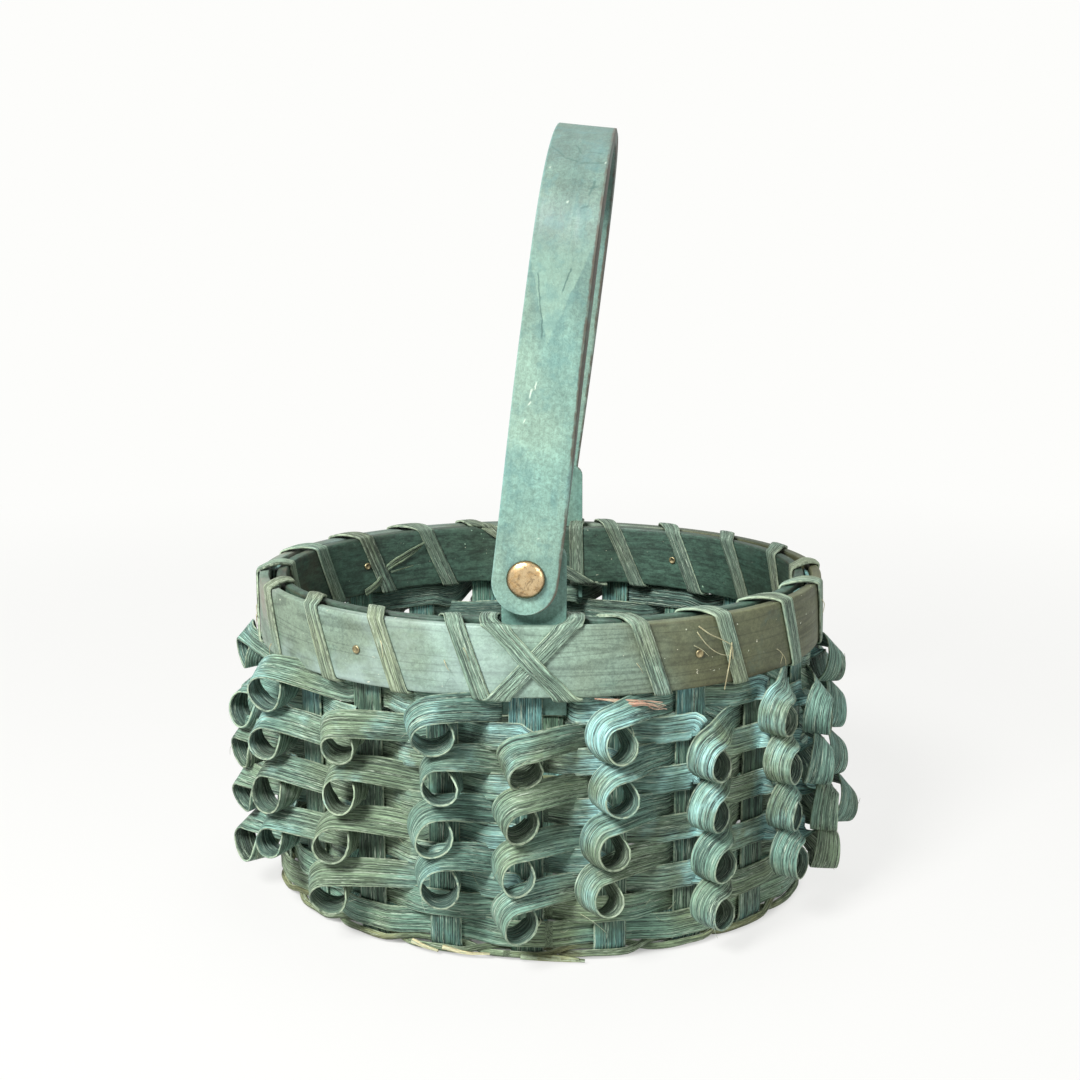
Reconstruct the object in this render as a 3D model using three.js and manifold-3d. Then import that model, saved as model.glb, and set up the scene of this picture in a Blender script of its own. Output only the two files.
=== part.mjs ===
// Oval splint basket with curled weavers, a lashed double rim and a swing handle.
// Millimetres, Z up. The origin is the middle of the footprint, on the ground.
// X runs along the long side of the oval and the handle turns about Y.

import * as THREE from 'three';
import { mergeVertices } from 'three/addons/utils/BufferGeometryUtils.js';
import Module from 'manifold-3d';

const wasm = await Module();
wasm.setup();

// Gap kept between two pieces that touch on the real basket
const clearance = 0.3;

// Oval of the wall, measured at the middle of the upright stakes
const wallHalfLength = 104;
const wallHalfDepth = 83;

// Flat upright stakes, each a strip that crosses the base and rises at both ends
const stakeCount = 20;
const crosswiseReach = 3;
const stakeWidth = 11.6;
const stakeThickness = 1.2;
const stakeTopDrop = 1.4;
const stakeBendRadius = 4.2;
const stakeSplay = 5;
const crossingMargin = 0.5;

// Rows of weaver, counted from the rim down
const curledRowCount = 8;
const plainRowCount = 2;
const bottomRowHeight = 10.1;
const rowGap = 0.6;
const weaverWidth = 8.6;
const weaverThickness = 0.9;
const weaverEntryMargin = 1.2;

// One curl: a loop of the weaver whose axis points out of the wall and droops
const curlRadius = 5.8;
const curlReach = 17;
const curlDrop = 7.2;
const curlSideShift = 2.5;
const curlDroopDegrees = 12;
const curlYawDegrees = 20;

// Rim of two bent bands that clamp the stake ends
const rimGap = 1.8;
const bandHeight = 25;
const bandThickness = 4.1;
const bandStepsPerStake = 3;

// Ears that stand between the bands at the middle of each long side
const earWidth = 22;
const earThickness = 4;
const earTopMargin = 9.4;
const earReach = 8;
const earCornerRadius = 4.5;

// Bent handle and the rivets that it turns on
const handleWidth = 22.4;
const handleThickness = 4.5;
const handleAxisRise = 17;
const handleRise = 148.2;
const handleEndDrop = 12.2;
const handleLegStraight = 104;
const handleCrownFlat = 26;
const handleLeanDegrees = 7.5;
const rivetShankRadius = 2.5;
const rivetHeadRadius = 6.45;
const rivetHeadHeight = 2.6;
const rivetHeadEdge = 0.5;
const rivetPeenRadius = 3.6;
const rivetPeenHeight = 1.3;
const burrRadius = 5.4;
const burrThickness = 0.9;

// Nails that pin the two bands together through a stake
const nailShankRadius = 0.7;
const nailHeadRadius = 1.45;
const nailHeadThickness = 0.5;

// Flat reed that lashes the rim
const lashWidth = 5.6;
const lashThickness = 0.9;
const lashGap = 0.7;
const lashCornerCut = 0.8;
const lashBottomOffset = 10.5;
const lashOuterAdvance = 8.6;
const lashInnerAdvance = 12.5;
const lashEarStep = 1.9;

// Two strands of round reed twined about the foot of the wall
const twineRadius = 1.3;
const twineWallShare = 0.75;
const twineSides = 5;
const twineGroundGap = 0.2;

const brass = { colour: '#9c7b45', roughness: 0.38, metalness: 0.9 };
const iron = { colour: '#5d5a45', roughness: 0.6, metalness: 0.7 };
const bentWood = { colour: '#74958a', roughness: 0.62, metalness: 0 };
const bandWood = { colour: '#6c8a7b', roughness: 0.68, metalness: 0 };
const splint = { colour: '#4f7a71', roughness: 0.75, metalness: 0 };
const reed = { colour: '#6e8468', roughness: 0.75, metalness: 0 };

const up = new THREE.Vector3(0, 0, 1);
const radians = THREE.MathUtils.degToRad;

// The oval starts at the middle of the front and runs towards +X
const oval = new THREE.EllipseCurve(
	0, 0, wallHalfLength, wallHalfDepth, -Math.PI / 2, 3 * Math.PI / 2, false
);
oval.arcLengthDivisions = 2000;
const girth = oval.getLength();
const stakeSpacing = girth / stakeCount;
const tightestRadius = wallHalfDepth * wallHalfDepth / wallHalfLength;

// Heights, from the bottom row up to the handle's axis
const rowPitch = weaverWidth + rowGap;
const topRowHeight = bottomRowHeight + (curledRowCount + plainRowCount - 1) * rowPitch;
const rimBottom = topRowHeight + weaverWidth / 2 + rimGap;
const rimTop = rimBottom + bandHeight;
const stakeTop = rimTop - stakeTopDrop;
const handleAxisHeight = rimTop + handleAxisRise;
const earTop = handleAxisHeight + earTopMargin;
const earBottom = rimBottom - earReach;

// Distance of a weaver's middle from the wall where it passes a stake
const passHalf = stakeWidth / 2 + weaverEntryMargin;
const passBow = passHalf * passHalf / (2 * tightestRadius);
const passOffset = (stakeThickness + weaverThickness) / 2 + clearance + passBow;

// Seats of the ears and of the bands, as distances from the wall
const bandInside = stakeThickness / 2 + clearance + passBow;
const bandCentre = bandInside + bandThickness / 2;
const earOuterFace = wallHalfDepth - bandInside;
const earInnerOffset = bandInside + earThickness + clearance;
const earPassOffset = earInnerOffset + weaverThickness / 2;

function wallFrame(along) {
	const share = THREE.MathUtils.euclideanModulo(along / girth, 1);
	const spot = oval.getPointAt(share);
	const run = oval.getTangentAt(share);
	return {
		foot: new THREE.Vector3(spot.x, spot.y, 0),
		run: new THREE.Vector3(run.x, run.y, 0),
		out: new THREE.Vector3(run.y, -run.x, 0),
	};
}

function placeOnWall(along, outward, height) {
	const frame = wallFrame(along);
	return frame.foot.addScaledVector(frame.out, outward).addScaledVector(up, height);
}

// How far the inner band is pushed inwards by an ear, as a distance
function earPush(along) {
	const fromFront = Math.abs(THREE.MathUtils.euclideanModulo(along + girth / 4, girth / 2) - girth / 4);
	const easedStart = stakeSpacing;
	const easedEnd = earWidth / 2 + stakeWidth / 2;
	const share = 1 - THREE.MathUtils.smoothstep(fromFront, easedEnd, easedStart + earThickness);
	return share * (earInnerOffset - bandInside);
}

// Sweeps an outline, given in shares of a station's width and thickness, along stations
function sweep(stations, outlineShares, closed) {
	const count = stations.length;
	const sides = outlineShares.length;
	const positions = [];
	stations.forEach((station, index) => {
		const along = new THREE.Vector3();
		for (const step of [-1, 1]) {
			const other = closed ? (index + step + count) % count : index + step;
			if (other < 0 || other >= count) {
				continue;
			}
			const leg = stations[other].centre.clone().sub(station.centre).normalize();
			along.addScaledVector(leg, step);
		}
		const through = along.clone().cross(station.across).normalize();
		const across = station.skewed ? station.across : through.clone().cross(along.normalize());
		for (const [acrossShare, throughShare] of outlineShares) {
			const corner = station.centre.clone();
			corner.addScaledVector(across, acrossShare * station.width);
			corner.addScaledVector(through, throughShare * station.thickness);
			positions.push(corner.x, corner.y, corner.z);
		}
	});
	const faces = [];
	const spans = closed ? count : count - 1;
	for (let span = 0; span < spans; span++) {
		const near = span * sides;
		const far = ((span + 1) % count) * sides;
		for (let side = 0; side < sides; side++) {
			const next = (side + 1) % sides;
			// The two broad faces are split along the same diagonal, so a twist keeps its thickness
			const nearSplit = side < sides / 2 ? next : side;
			const farSplit = side < sides / 2 ? side : next;
			faces.push(near + side, near + next, far + farSplit);
			faces.push(near + nearSplit, far + next, far + side);
		}
	}
	if (!closed) {
		const last = (count - 1) * sides;
		for (let side = 1; side < sides - 1; side++) {
			faces.push(0, side + 1, side);
			faces.push(last, last + side, last + side + 1);
		}
	}
	return outwardFacing(positions, faces);
}

// Turns every face round when the enclosed volume comes out negative
function outwardFacing(positions, faces) {
	const geometry = new THREE.BufferGeometry();
	geometry.setAttribute('position', new THREE.Float32BufferAttribute(positions, 3));
	const corners = [new THREE.Vector3(), new THREE.Vector3(), new THREE.Vector3()];
	let volume = 0;
	for (let face = 0; face < faces.length; face += 3) {
		corners.forEach((corner, index) => {
			corner.fromBufferAttribute(geometry.attributes.position, faces[face + index]);
		});
		volume += corners[0].dot(corners[1].cross(corners[2]));
	}
	if (volume < 0) {
		faces.reverse();
	}
	geometry.setIndex(faces);
	geometry.computeVertexNormals();
	return geometry;
}

const flatOutlineShares = [[-0.5, -0.5], [0.5, -0.5], [0.5, 0.5], [-0.5, 0.5]];
const easedOutlineShares = [
	[-0.46, -0.5], [0.46, -0.5], [0.5, -0.28], [0.5, 0.28],
	[0.46, 0.5], [-0.46, 0.5], [-0.5, 0.28], [-0.5, -0.28],
];

function roundOutlineShares(sides) {
	return Array.from({ length: sides }, (_, side) => {
		const angle = 2 * Math.PI * side / sides;
		return [Math.cos(angle) / 2, Math.sin(angle) / 2];
	});
}

// Cutting one closed mesh with others
function toSolid(geometry) {
	const bare = geometry.clone();
	bare.deleteAttribute('normal');
	bare.deleteAttribute('uv');
	const merged = mergeVertices(bare);
	return new wasm.Manifold(new wasm.Mesh({
		numProp: 3,
		vertProperties: new Float32Array(merged.attributes.position.array),
		triVerts: new Uint32Array(merged.index.array),
	}));
}

function cutBy(geometry, cutters) {
	let solid = toSolid(geometry);
	for (const cutter of cutters) {
		solid = solid.subtract(toSolid(cutter));
	}
	const mesh = solid.getMesh();
	const result = new THREE.BufferGeometry();
	result.setAttribute('position', new THREE.BufferAttribute(mesh.vertProperties, 3));
	result.setIndex(new THREE.BufferAttribute(mesh.triVerts, 1));
	result.computeVertexNormals();
	return result;
}

function drill(centre, direction, radius, length, sides) {
	const cutter = new THREE.CylinderGeometry(radius, radius, length, sides);
	const turn = new THREE.Quaternion().setFromUnitVectors(new THREE.Vector3(0, 1, 0), direction);
	cutter.applyQuaternion(turn);
	cutter.translate(centre.x, centre.y, centre.z);
	return cutter;
}

// Nail holes run through both bands and the stake between them
const bandOuterFace = bandInside + bandThickness;
const nailHeight = rimBottom + bandHeight / 2;
const nailSides = 8;

// The stake that each nail goes through, and the side of the rim that its head is on
const nailPlaces = [
	{ stake: 2, head: 1 },
	{ stake: -2, head: 1 },
	{ stake: 8, head: -1 },
	{ stake: 13, head: -1 },
];

const nailHoles = nailPlaces.map((place) => {
	const along = place.stake * stakeSpacing;
	const centre = placeOnWall(along, 0, nailHeight);
	const length = 4 * bandOuterFace;
	return drill(centre, wallFrame(along).out, nailShankRadius + clearance, length, nailSides);
});

const basket = new THREE.Group();

function addPiece(name, geometry, finish, parent = basket) {
	const material = new THREE.MeshStandardMaterial({
		color: finish.colour, roughness: finish.roughness, metalness: finish.metalness,
	});
	const mesh = new THREE.Mesh(geometry, material);
	mesh.name = name;
	parent.add(mesh);
	return mesh;
}

// Stakes

const layerStep = stakeThickness + clearance;
const baseMiddle = stakeThickness / 2 + layerStep / 2;

function stakeStation(centre, heading) {
	const across = heading.clone().cross(up);
	return { centre, across, width: stakeWidth, thickness: stakeThickness };
}

// From the top of the wall down, round the bend and on to the strip's straight line
function stakeRise(stakeIndex, run) {
	const { foot, out } = wallFrame(stakeIndex * stakeSpacing);
	const inward = out.clone().negate();
	const stations = [stakeStation(foot.clone().setZ(stakeTop), inward)];
	const bendSteps = 3;
	for (let step = 0; step <= bendSteps; step++) {
		const angle = Math.PI / 2 * step / bendSteps;
		const centre = foot.clone().addScaledVector(inward, stakeBendRadius * (1 - Math.cos(angle)));
		centre.z = baseMiddle + stakeBendRadius * (1 - Math.sin(angle));
		stations.push(stakeStation(centre, inward));
	}
	const bendEnd = stations.at(-1).centre;
	const elbow = bendEnd.clone().addScaledVector(inward, stakeSplay);
	const lineStart = elbow.clone().addScaledVector(run, stakeSplay);
	const splay = new THREE.QuadraticBezierCurve3(bendEnd, elbow, lineStart);
	for (const share of [0.5, 1]) {
		stations.push(stakeStation(splay.getPoint(share), splay.getTangent(share).setZ(0).normalize()));
	}
	return stations;
}

function stakeLine(stakeIndex) {
	const { foot, out } = wallFrame(stakeIndex * stakeSpacing);
	return foot.addScaledVector(out, -(stakeBendRadius + stakeSplay));
}

const lengthwiseReach = stakeCount / 4 - crosswiseReach - 1;
const crosswiseOrders = Array.from({ length: 2 * crosswiseReach + 1 }, (_, n) => n - crosswiseReach);
const lengthwiseOrders = Array.from({ length: 2 * lengthwiseReach + 1 }, (_, n) => n - lengthwiseReach);
const halfCount = stakeCount / 2;
const quarterCount = stakeCount / 4;

// A strip from one wall to the other, over and under the strips that it crosses
function stakeStrip(firstIndex, lastIndex, crossings) {
	const start = stakeLine(firstIndex);
	const finish = stakeLine(lastIndex);
	const run = finish.clone().sub(start).normalize();
	const rise = stakeRise(firstIndex, run);
	const fall = stakeRise(lastIndex, run.clone().negate());
	fall.reverse();
	fall.forEach((station) => station.across.negate());
	const middle = [];
	const flatHalf = stakeWidth / 2 + crossingMargin;
	for (const { spot, over } of crossings) {
		const distance = spot.clone().sub(start).dot(run);
		for (const side of [-1, 1]) {
			const centre = start.clone().addScaledVector(run, distance + side * flatHalf);
			centre.z = baseMiddle + (over ? 1 : -1) * layerStep / 2;
			middle.push(stakeStation(centre, run));
		}
	}
	return sweep([...rise, ...middle, ...fall], flatOutlineShares, false);
}

function isCrosswiseOver(crosswise, lengthwise) {
	return (crosswise + lengthwise) % 2 !== 0;
}

crosswiseOrders.forEach((order, place) => {
	const crossings = lengthwiseOrders.map((other) => ({
		spot: stakeLine(quarterCount + other),
		over: isCrosswiseOver(order, other),
	}));
	const strip = stakeStrip(order, halfCount - order, crossings);
	addPiece(`stake_crosswise_${place + 1}`, cutBy(strip, nailHoles), splint);
});

lengthwiseOrders.forEach((order, place) => {
	const crossings = crosswiseOrders.map((other) => ({
		spot: stakeLine(other),
		over: !isCrosswiseOver(other, order),
	}));
	const strip = stakeStrip(3 * quarterCount - order, quarterCount + order, crossings);
	addPiece(`stake_lengthwise_${place + 1}`, strip, splint);
});

// Weavers

const droop = radians(curlDroopDegrees);
const yaw = radians(curlYawDegrees);
const curlSeat = passOffset;

function curlAxis(frame) {
	const axis = frame.run.clone().multiplyScalar(Math.sin(yaw) * Math.cos(droop));
	axis.addScaledVector(frame.out, Math.cos(yaw) * Math.cos(droop));
	axis.addScaledVector(up, -Math.sin(droop));
	return axis;
}

// A station from the weaver's near edge and the way across to its far edge
function weaverStation(nearEdge, across) {
	const centre = nearEdge.clone().addScaledVector(across, weaverWidth / 2);
	return { centre, across, width: weaverWidth, thickness: weaverThickness };
}

// The loop: angle from its top, radius share, pull towards the wall as a share of the reach, flare
const loopShares = [
	[0, 1, 0, 36], [40, 1, 0, 20], [80, 1, 0, 6], [120, 1, 0, 0], [160, 1, 0, 0],
	[200, 0.98, 0, 0], [240, 0.94, 0.05, 0], [280, 0.86, 0.16, 5], [315, 0.74, 0.32, 26],
	[345, 0.62, 0.52, 54],
];

// Leads: place along in curl radii, reach share, rise of the near edge in widths, lean back
const leadInShares = [[2.7, 0, 0, 90], [1.8, 0.3, -0.02, 76], [0.8, 0.7, 0.16, 54]];
const leadOutShares = [[-0.9, 0.06, 0.02, 82], [-2, 0, 0, 90]];

function leadStations(shares, stakeAt, height, axis) {
	return shares.map(([alongShare, reachShare, riseShare, leanDegrees]) => {
		const outward = THREE.MathUtils.lerp(curlSeat, curlReach, reachShare);
		const edgeHeight = height + (riseShare - 0.5) * weaverWidth;
		const nearEdge = placeOnWall(stakeAt + alongShare * curlRadius, outward, edgeHeight);
		const lean = radians(leanDegrees);
		const across = up.clone().multiplyScalar(Math.sin(lean)).addScaledVector(axis, -Math.cos(lean));
		return weaverStation(nearEdge, across.normalize());
	});
}

// Seen from outside, the weaver comes from the right, loops anticlockwise and leaves to the left
function curlStations(stakeAt, height) {
	const frame = wallFrame(stakeAt);
	const axis = curlAxis(frame);
	const rise = up.clone().addScaledVector(axis, -up.dot(axis)).normalize();
	const left = axis.clone().cross(rise);
	const hub = placeOnWall(stakeAt - curlSideShift, curlReach, height - curlDrop);
	const loop = loopShares.map(([angleDegrees, radiusShare, pullShare, flareDegrees]) => {
		const angle = radians(angleDegrees);
		const flare = radians(flareDegrees);
		const spoke = rise.clone().multiplyScalar(Math.cos(angle)).addScaledVector(left, Math.sin(angle));
		const nearEdge = hub.clone().addScaledVector(spoke, radiusShare * curlRadius);
		nearEdge.addScaledVector(axis, -pullShare * curlReach);
		const across = spoke.multiplyScalar(Math.sin(flare)).addScaledVector(axis, -Math.cos(flare));
		return weaverStation(nearEdge, across);
	});
	return [
		...leadStations(leadInShares, stakeAt, height, axis),
		...loop,
		...leadStations(leadOutShares, stakeAt, height, axis),
	];
}

function passStations(stakeIndex, height, side) {
	const atEar = stakeIndex % halfCount === 0 && side < 0 && height + weaverWidth / 2 > earBottom;
	const half = atEar ? earWidth / 2 + weaverEntryMargin : passHalf;
	const offset = atEar ? earPassOffset : passOffset;
	const edgeHeight = height - weaverWidth / 2;
	return [1, -1].map((end) => {
		const nearEdge = placeOnWall(stakeIndex * stakeSpacing + end * half, side * offset, edgeHeight);
		return weaverStation(nearEdge, up.clone());
	});
}

function weaverRing(row) {
	const height = topRowHeight - row * rowPitch;
	const stations = [];
	for (let stake = stakeCount; stake > 0; stake--) {
		const inFront = (stake + row) % 2 !== 0;
		if (inFront && row < curledRowCount) {
			stations.push(...curlStations(stake * stakeSpacing, height));
		} else {
			stations.push(...passStations(stake, height, inFront ? 1 : -1));
		}
	}
	return sweep(stations, flatOutlineShares, true);
}

for (let row = 0; row < curledRowCount + plainRowCount; row++) {
	const curled = row < curledRowCount;
	const name = curled ? `curled_weaver_${row + 1}` : `plain_weaver_${row + 1 - curledRowCount}`;
	addPiece(name, weaverRing(row), splint);
}

// Twined strands at the foot of the wall

const twineLow = twineRadius + twineGroundGap;
const twineInside = stakeBendRadius + twineWallShare * twineRadius;
const twineOutside = twineRadius;
const twineMiddle = (twineOutside - twineInside) / 2;
const twineHigh = baseMiddle + stakeThickness / 2 + clearance + twineRadius;
const twineLift = twineRadius + clearance;

// Each strand goes outside one stake and inside the next, crossing the other between them
const twineTurnShares = [[-0.2, 1, 0], [0.2, 1, 0], [0.5, 0, 1]];

function twineStrand(order) {
	const stations = [];
	for (let stake = 0; stake < stakeCount; stake++) {
		const side = (stake + order) % 2 === 0 ? 1 : -1;
		for (const [alongShare, sideShare, liftShare] of twineTurnShares) {
			const outward = twineMiddle + side * sideShare * (twineOutside + twineInside) / 2;
			const swing = side * sideShare * (twineHigh - twineLow) / 2;
			const middle = liftShare ? twineLow + twineLift : (twineLow + twineHigh) / 2;
			const height = middle - swing + side * liftShare * twineLift;
			const centre = placeOnWall((stake + alongShare) * stakeSpacing, outward, height);
			stations.push({ centre, across: up, width: 2 * twineRadius, thickness: 2 * twineRadius });
		}
	}
	return sweep(stations, roundOutlineShares(twineSides), true);
}

addPiece('twined_strand_1', twineStrand(0), reed);
addPiece('twined_strand_2', twineStrand(1), reed);

// Rim bands and their nails

function bandStations(side) {
	const count = stakeCount * bandStepsPerStake;
	return Array.from({ length: count }, (_, step) => {
		const along = girth * step / count;
		const push = side < 0 ? earPush(along) : 0;
		const centre = placeOnWall(along, side * (bandCentre + push), rimBottom + bandHeight / 2);
		return { centre, across: up, width: bandHeight, thickness: bandThickness };
	});
}

const outerBand = sweep(bandStations(1), flatOutlineShares, true);
const innerBand = sweep(bandStations(-1), flatOutlineShares, true);
addPiece('rim_outer_band', cutBy(outerBand, nailHoles), bandWood);
addPiece('rim_inner_band', cutBy(innerBand, nailHoles), bandWood);

nailPlaces.forEach((place, index) => {
	const headUnder = bandOuterFace + clearance;
	const tip = -bandOuterFace + bandThickness / 4;
	const profile = [
		[0, tip], [nailShankRadius, tip], [nailShankRadius, headUnder], [nailHeadRadius, headUnder],
		[nailHeadRadius, headUnder + nailHeadThickness / 2],
		[nailHeadRadius / 2, headUnder + nailHeadThickness], [0, headUnder + nailHeadThickness],
	];
	const shape = new THREE.LatheGeometry(profile.map(([x, y]) => new THREE.Vector2(x, y)), nailSides);
	const along = place.stake * stakeSpacing;
	const direction = wallFrame(along).out.multiplyScalar(place.head);
	const nail = addPiece(`rim_nail_${index + 1}`, shape, iron);
	nail.quaternion.setFromUnitVectors(new THREE.Vector3(0, 1, 0), direction);
	nail.position.copy(placeOnWall(along, 0, nailHeight));
});

// Lashing round both bands, one turn to each stake and a cross at each ear

const lashSeat = lashGap + lashThickness / 2;
const lashOut = bandOuterFace + lashSeat;
const lashOver = rimTop + lashSeat;
const lashUnder = rimBottom - lashSeat;
const lashLift = lashThickness + clearance;
const lashCrossHalf = earWidth / 2 + lashGap + lashWidth / 2;

// Where a run bends on its way, and how far it is lifted there over another run
const downRunShares = [];
const upRunShares = [[0.5, 0]];
const lowerCrossShares = [[0.25, 0], [0.5, 0], [0.75, 0]];
const upperCrossShares = [[0.2, 0], [0.38, 1.2], [0.62, 1.2], [0.8, 0]];
const innerCrossShares = [[0.3, 0], [0.5, 1.5], [0.93, 1.8]];

function lashOffset(along, side) {
	return side * (lashOut + (side < 0 ? earPush(along) : 0));
}

// One run of the reed down the outer face or up the inner face, edge to edge
function lashRun(fromAlong, toAlong, side, bendShares) {
	const fromHeight = side > 0 ? lashOver : lashUnder;
	const toHeight = side > 0 ? lashUnder : lashOver;
	const inset = side * lashCornerCut;
	const slantShare = Math.hypot(1, (toAlong - fromAlong) / (toHeight - fromHeight));
	const path = [
		[fromAlong, lashOffset(fromAlong, side) - inset, fromHeight, 1],
		[fromAlong, lashOffset(fromAlong, side), fromHeight - inset, 1],
	];
	for (const [share, liftShare] of bendShares) {
		const along = THREE.MathUtils.lerp(fromAlong, toAlong, share);
		const height = THREE.MathUtils.lerp(fromHeight, toHeight, share);
		const outward = lashOffset(along, side) + side * liftShare * lashLift;
		path.push([along, outward, height, slantShare]);
	}
	path.push([toAlong, lashOffset(toAlong, side), toHeight + inset, 1]);
	path.push([toAlong, lashOffset(toAlong, side) - inset, toHeight, 1]);
	return path;
}

function lashPath() {
	const path = [];
	for (let stake = 0; stake < stakeCount; stake++) {
		const at = stake * stakeSpacing;
		const beforeEar = (stake + 1) % halfCount === 0;
		const bottom = at + lashBottomOffset - (beforeEar ? lashEarStep : 0);
		const leave = bottom + lashInnerAdvance;
		const left = at - lashCrossHalf;
		const right = at + lashCrossHalf;
		if (stake % halfCount === 0) {
			path.push(...lashRun(left, right, 1, upperCrossShares));
			path.push(...lashRun(right, right, -1, upRunShares));
			path.push(...lashRun(right, left, 1, lowerCrossShares));
			path.push(...lashRun(left, leave, -1, innerCrossShares));
		} else {
			path.push(...lashRun(bottom - lashOuterAdvance, bottom, 1, downRunShares));
			path.push(...lashRun(bottom, beforeEar ? bottom : leave, -1, upRunShares));
		}
	}
	return path;
}

// The reed lies flat on its side of the rim, and a slanted run is wider along it
const lashStations = lashPath().map(([along, outward, height, slantShare]) => {
	const [before, after] = [-1, 1].map((end) => {
		const place = along + end * lashWidth / 2;
		return placeOnWall(place, lashOffset(place, Math.sign(outward)), height);
	});
	return {
		centre: placeOnWall(along, outward, height),
		across: after.sub(before).normalize(),
		width: lashWidth * slantShare,
		thickness: lashThickness,
		skewed: true,
	};
});
addPiece('rim_lashing', sweep(lashStations, flatOutlineShares, true), reed);

// Ears

function earGeometry() {
	const half = earWidth / 2;
	const corner = earTop - earCornerRadius;
	const shape = new THREE.Shape();
	shape.moveTo(-half, earBottom);
	shape.lineTo(half, earBottom);
	shape.lineTo(half, corner);
	shape.absarc(half - earCornerRadius, corner, earCornerRadius, 0, Math.PI / 2, false);
	shape.absarc(earCornerRadius - half, corner, earCornerRadius, Math.PI / 2, Math.PI, false);
	shape.closePath();
	const hole = new THREE.Path();
	hole.absarc(0, handleAxisHeight, rivetShankRadius + clearance, 0, 2 * Math.PI, true);
	shape.holes.push(hole);
	const geometry = new THREE.ExtrudeGeometry(shape, {
		depth: earThickness, bevelEnabled: false, curveSegments: 6,
	});
	geometry.rotateX(Math.PI / 2);
	return geometry;
}

const earBack = addPiece('ear_back', earGeometry(), bandWood);
earBack.position.y = earOuterFace;
const earFront = addPiece('ear_front', earGeometry(), bandWood);
earFront.position.y = earThickness - earOuterFace;

// Rivets and burrs, turned about the handle's axis

const legInnerFace = earOuterFace + clearance;
const legCentre = legInnerFace + handleThickness / 2;
const rivetHeadUnder = legInnerFace + handleThickness + clearance;
const burrOuterFace = earOuterFace - earThickness - clearance;
const burrInnerFace = burrOuterFace - burrThickness;
const peenFace = burrInnerFace - clearance;
const rivetSides = 16;

function rivetGeometry() {
	const profile = [
		[0, peenFace - rivetPeenHeight], [rivetPeenRadius / 2, peenFace - rivetPeenHeight],
		[rivetPeenRadius, peenFace - rivetPeenHeight / 2], [rivetPeenRadius, peenFace],
		[rivetShankRadius, peenFace], [rivetShankRadius, rivetHeadUnder],
		[rivetHeadRadius, rivetHeadUnder], [rivetHeadRadius, rivetHeadUnder + rivetHeadEdge],
	];
	const domeHeight = rivetHeadHeight - rivetHeadEdge;
	const domeSteps = 4;
	for (let step = 1; step <= domeSteps; step++) {
		const angle = Math.PI / 2 * step / domeSteps;
		const radius = step === domeSteps ? 0 : rivetHeadRadius * Math.cos(angle);
		profile.push([radius, rivetHeadUnder + rivetHeadEdge + domeHeight * Math.sin(angle)]);
	}
	return new THREE.LatheGeometry(profile.map(([x, y]) => new THREE.Vector2(x, y)), rivetSides);
}

function burrGeometry() {
	const bore = rivetShankRadius + clearance;
	const profile = [
		[bore, burrInnerFace], [burrRadius, burrInnerFace],
		[burrRadius, burrOuterFace], [bore, burrOuterFace], [bore, burrInnerFace],
	];
	return new THREE.LatheGeometry(profile.map(([x, y]) => new THREE.Vector2(x, y)), rivetSides);
}

for (const [end, turn] of [['front', Math.PI], ['back', 0]]) {
	const fixing = new THREE.Group();
	fixing.position.z = handleAxisHeight;
	fixing.rotation.z = turn;
	addPiece(`rivet_${end}`, rivetGeometry(), brass, fixing);
	addPiece(`burr_${end}`, burrGeometry(), brass, fixing);
	basket.add(fixing);
}

// Handle: two straight legs and a bent crown, widest at the legs

const handleEndShares = [[0, 0.36], [0.1, 0.62], [0.28, 0.84], [0.58, 0.97], [1, 1]];
const handleCrownWidthShare = 0.91;
const handleBendShares = { legPull: 0.72, crownPull: 0.5 };

function handleGeometry() {
	const crownHeight = handleRise - handleThickness / 2;
	const halfFlat = handleCrownFlat / 2;
	const bendRise = crownHeight - handleLegStraight;
	const bendSpan = legCentre - halfFlat;
	const bend = new THREE.CubicBezierCurve3(
		new THREE.Vector3(0, -legCentre, handleLegStraight),
		new THREE.Vector3(0, -legCentre, handleLegStraight + handleBendShares.legPull * bendRise),
		new THREE.Vector3(0, -halfFlat - handleBendShares.crownPull * bendSpan, crownHeight),
		new THREE.Vector3(0, -halfFlat, crownHeight)
	);
	const endLength = handleWidth / 2;
	const half = handleEndShares.map(([lengthShare, widthShare]) => ({
		centre: new THREE.Vector3(0, -legCentre, lengthShare * endLength - handleEndDrop),
		width: widthShare * handleWidth,
	}));
	const bendSteps = 10;
	for (const centre of bend.getPoints(bendSteps)) {
		const share = Math.max(0, centre.z / crownHeight);
		half.push({ centre, width: handleWidth * (1 - (1 - handleCrownWidthShare) * share) });
	}
	const mirrored = half.map(({ centre, width }) => ({
		centre: new THREE.Vector3(0, -centre.y, centre.z), width,
	}));
	const across = new THREE.Vector3(1, 0, 0);
	const stations = [...half, ...mirrored.reverse()].map((station) => ({
		...station, across, thickness: handleThickness,
	}));
	const axis = new THREE.Vector3(0, 1, 0);
	const bores = [-1, 1].map((side) => drill(
		new THREE.Vector3(0, side * legCentre, 0), axis,
		rivetShankRadius + clearance, 2 * handleThickness, rivetSides
	));
	return cutBy(sweep(stations, easedOutlineShares, false), bores);
}

const handleSwing = new THREE.Group();
handleSwing.position.z = handleAxisHeight;
handleSwing.rotation.y = radians(handleLeanDegrees);
addPiece('handle', handleGeometry(), bentWood, handleSwing);
basket.add(handleSwing);

export default basket;
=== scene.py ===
"""Looks of the oval splint basket: woven wall with curls, lashed rim, riveted swing handle.

Sizes are in millimetres here and become metres where a mesh is made.
"""

import math

import bmesh
import bpy
import numpy as np
from mathutils import Matrix, Vector


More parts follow.
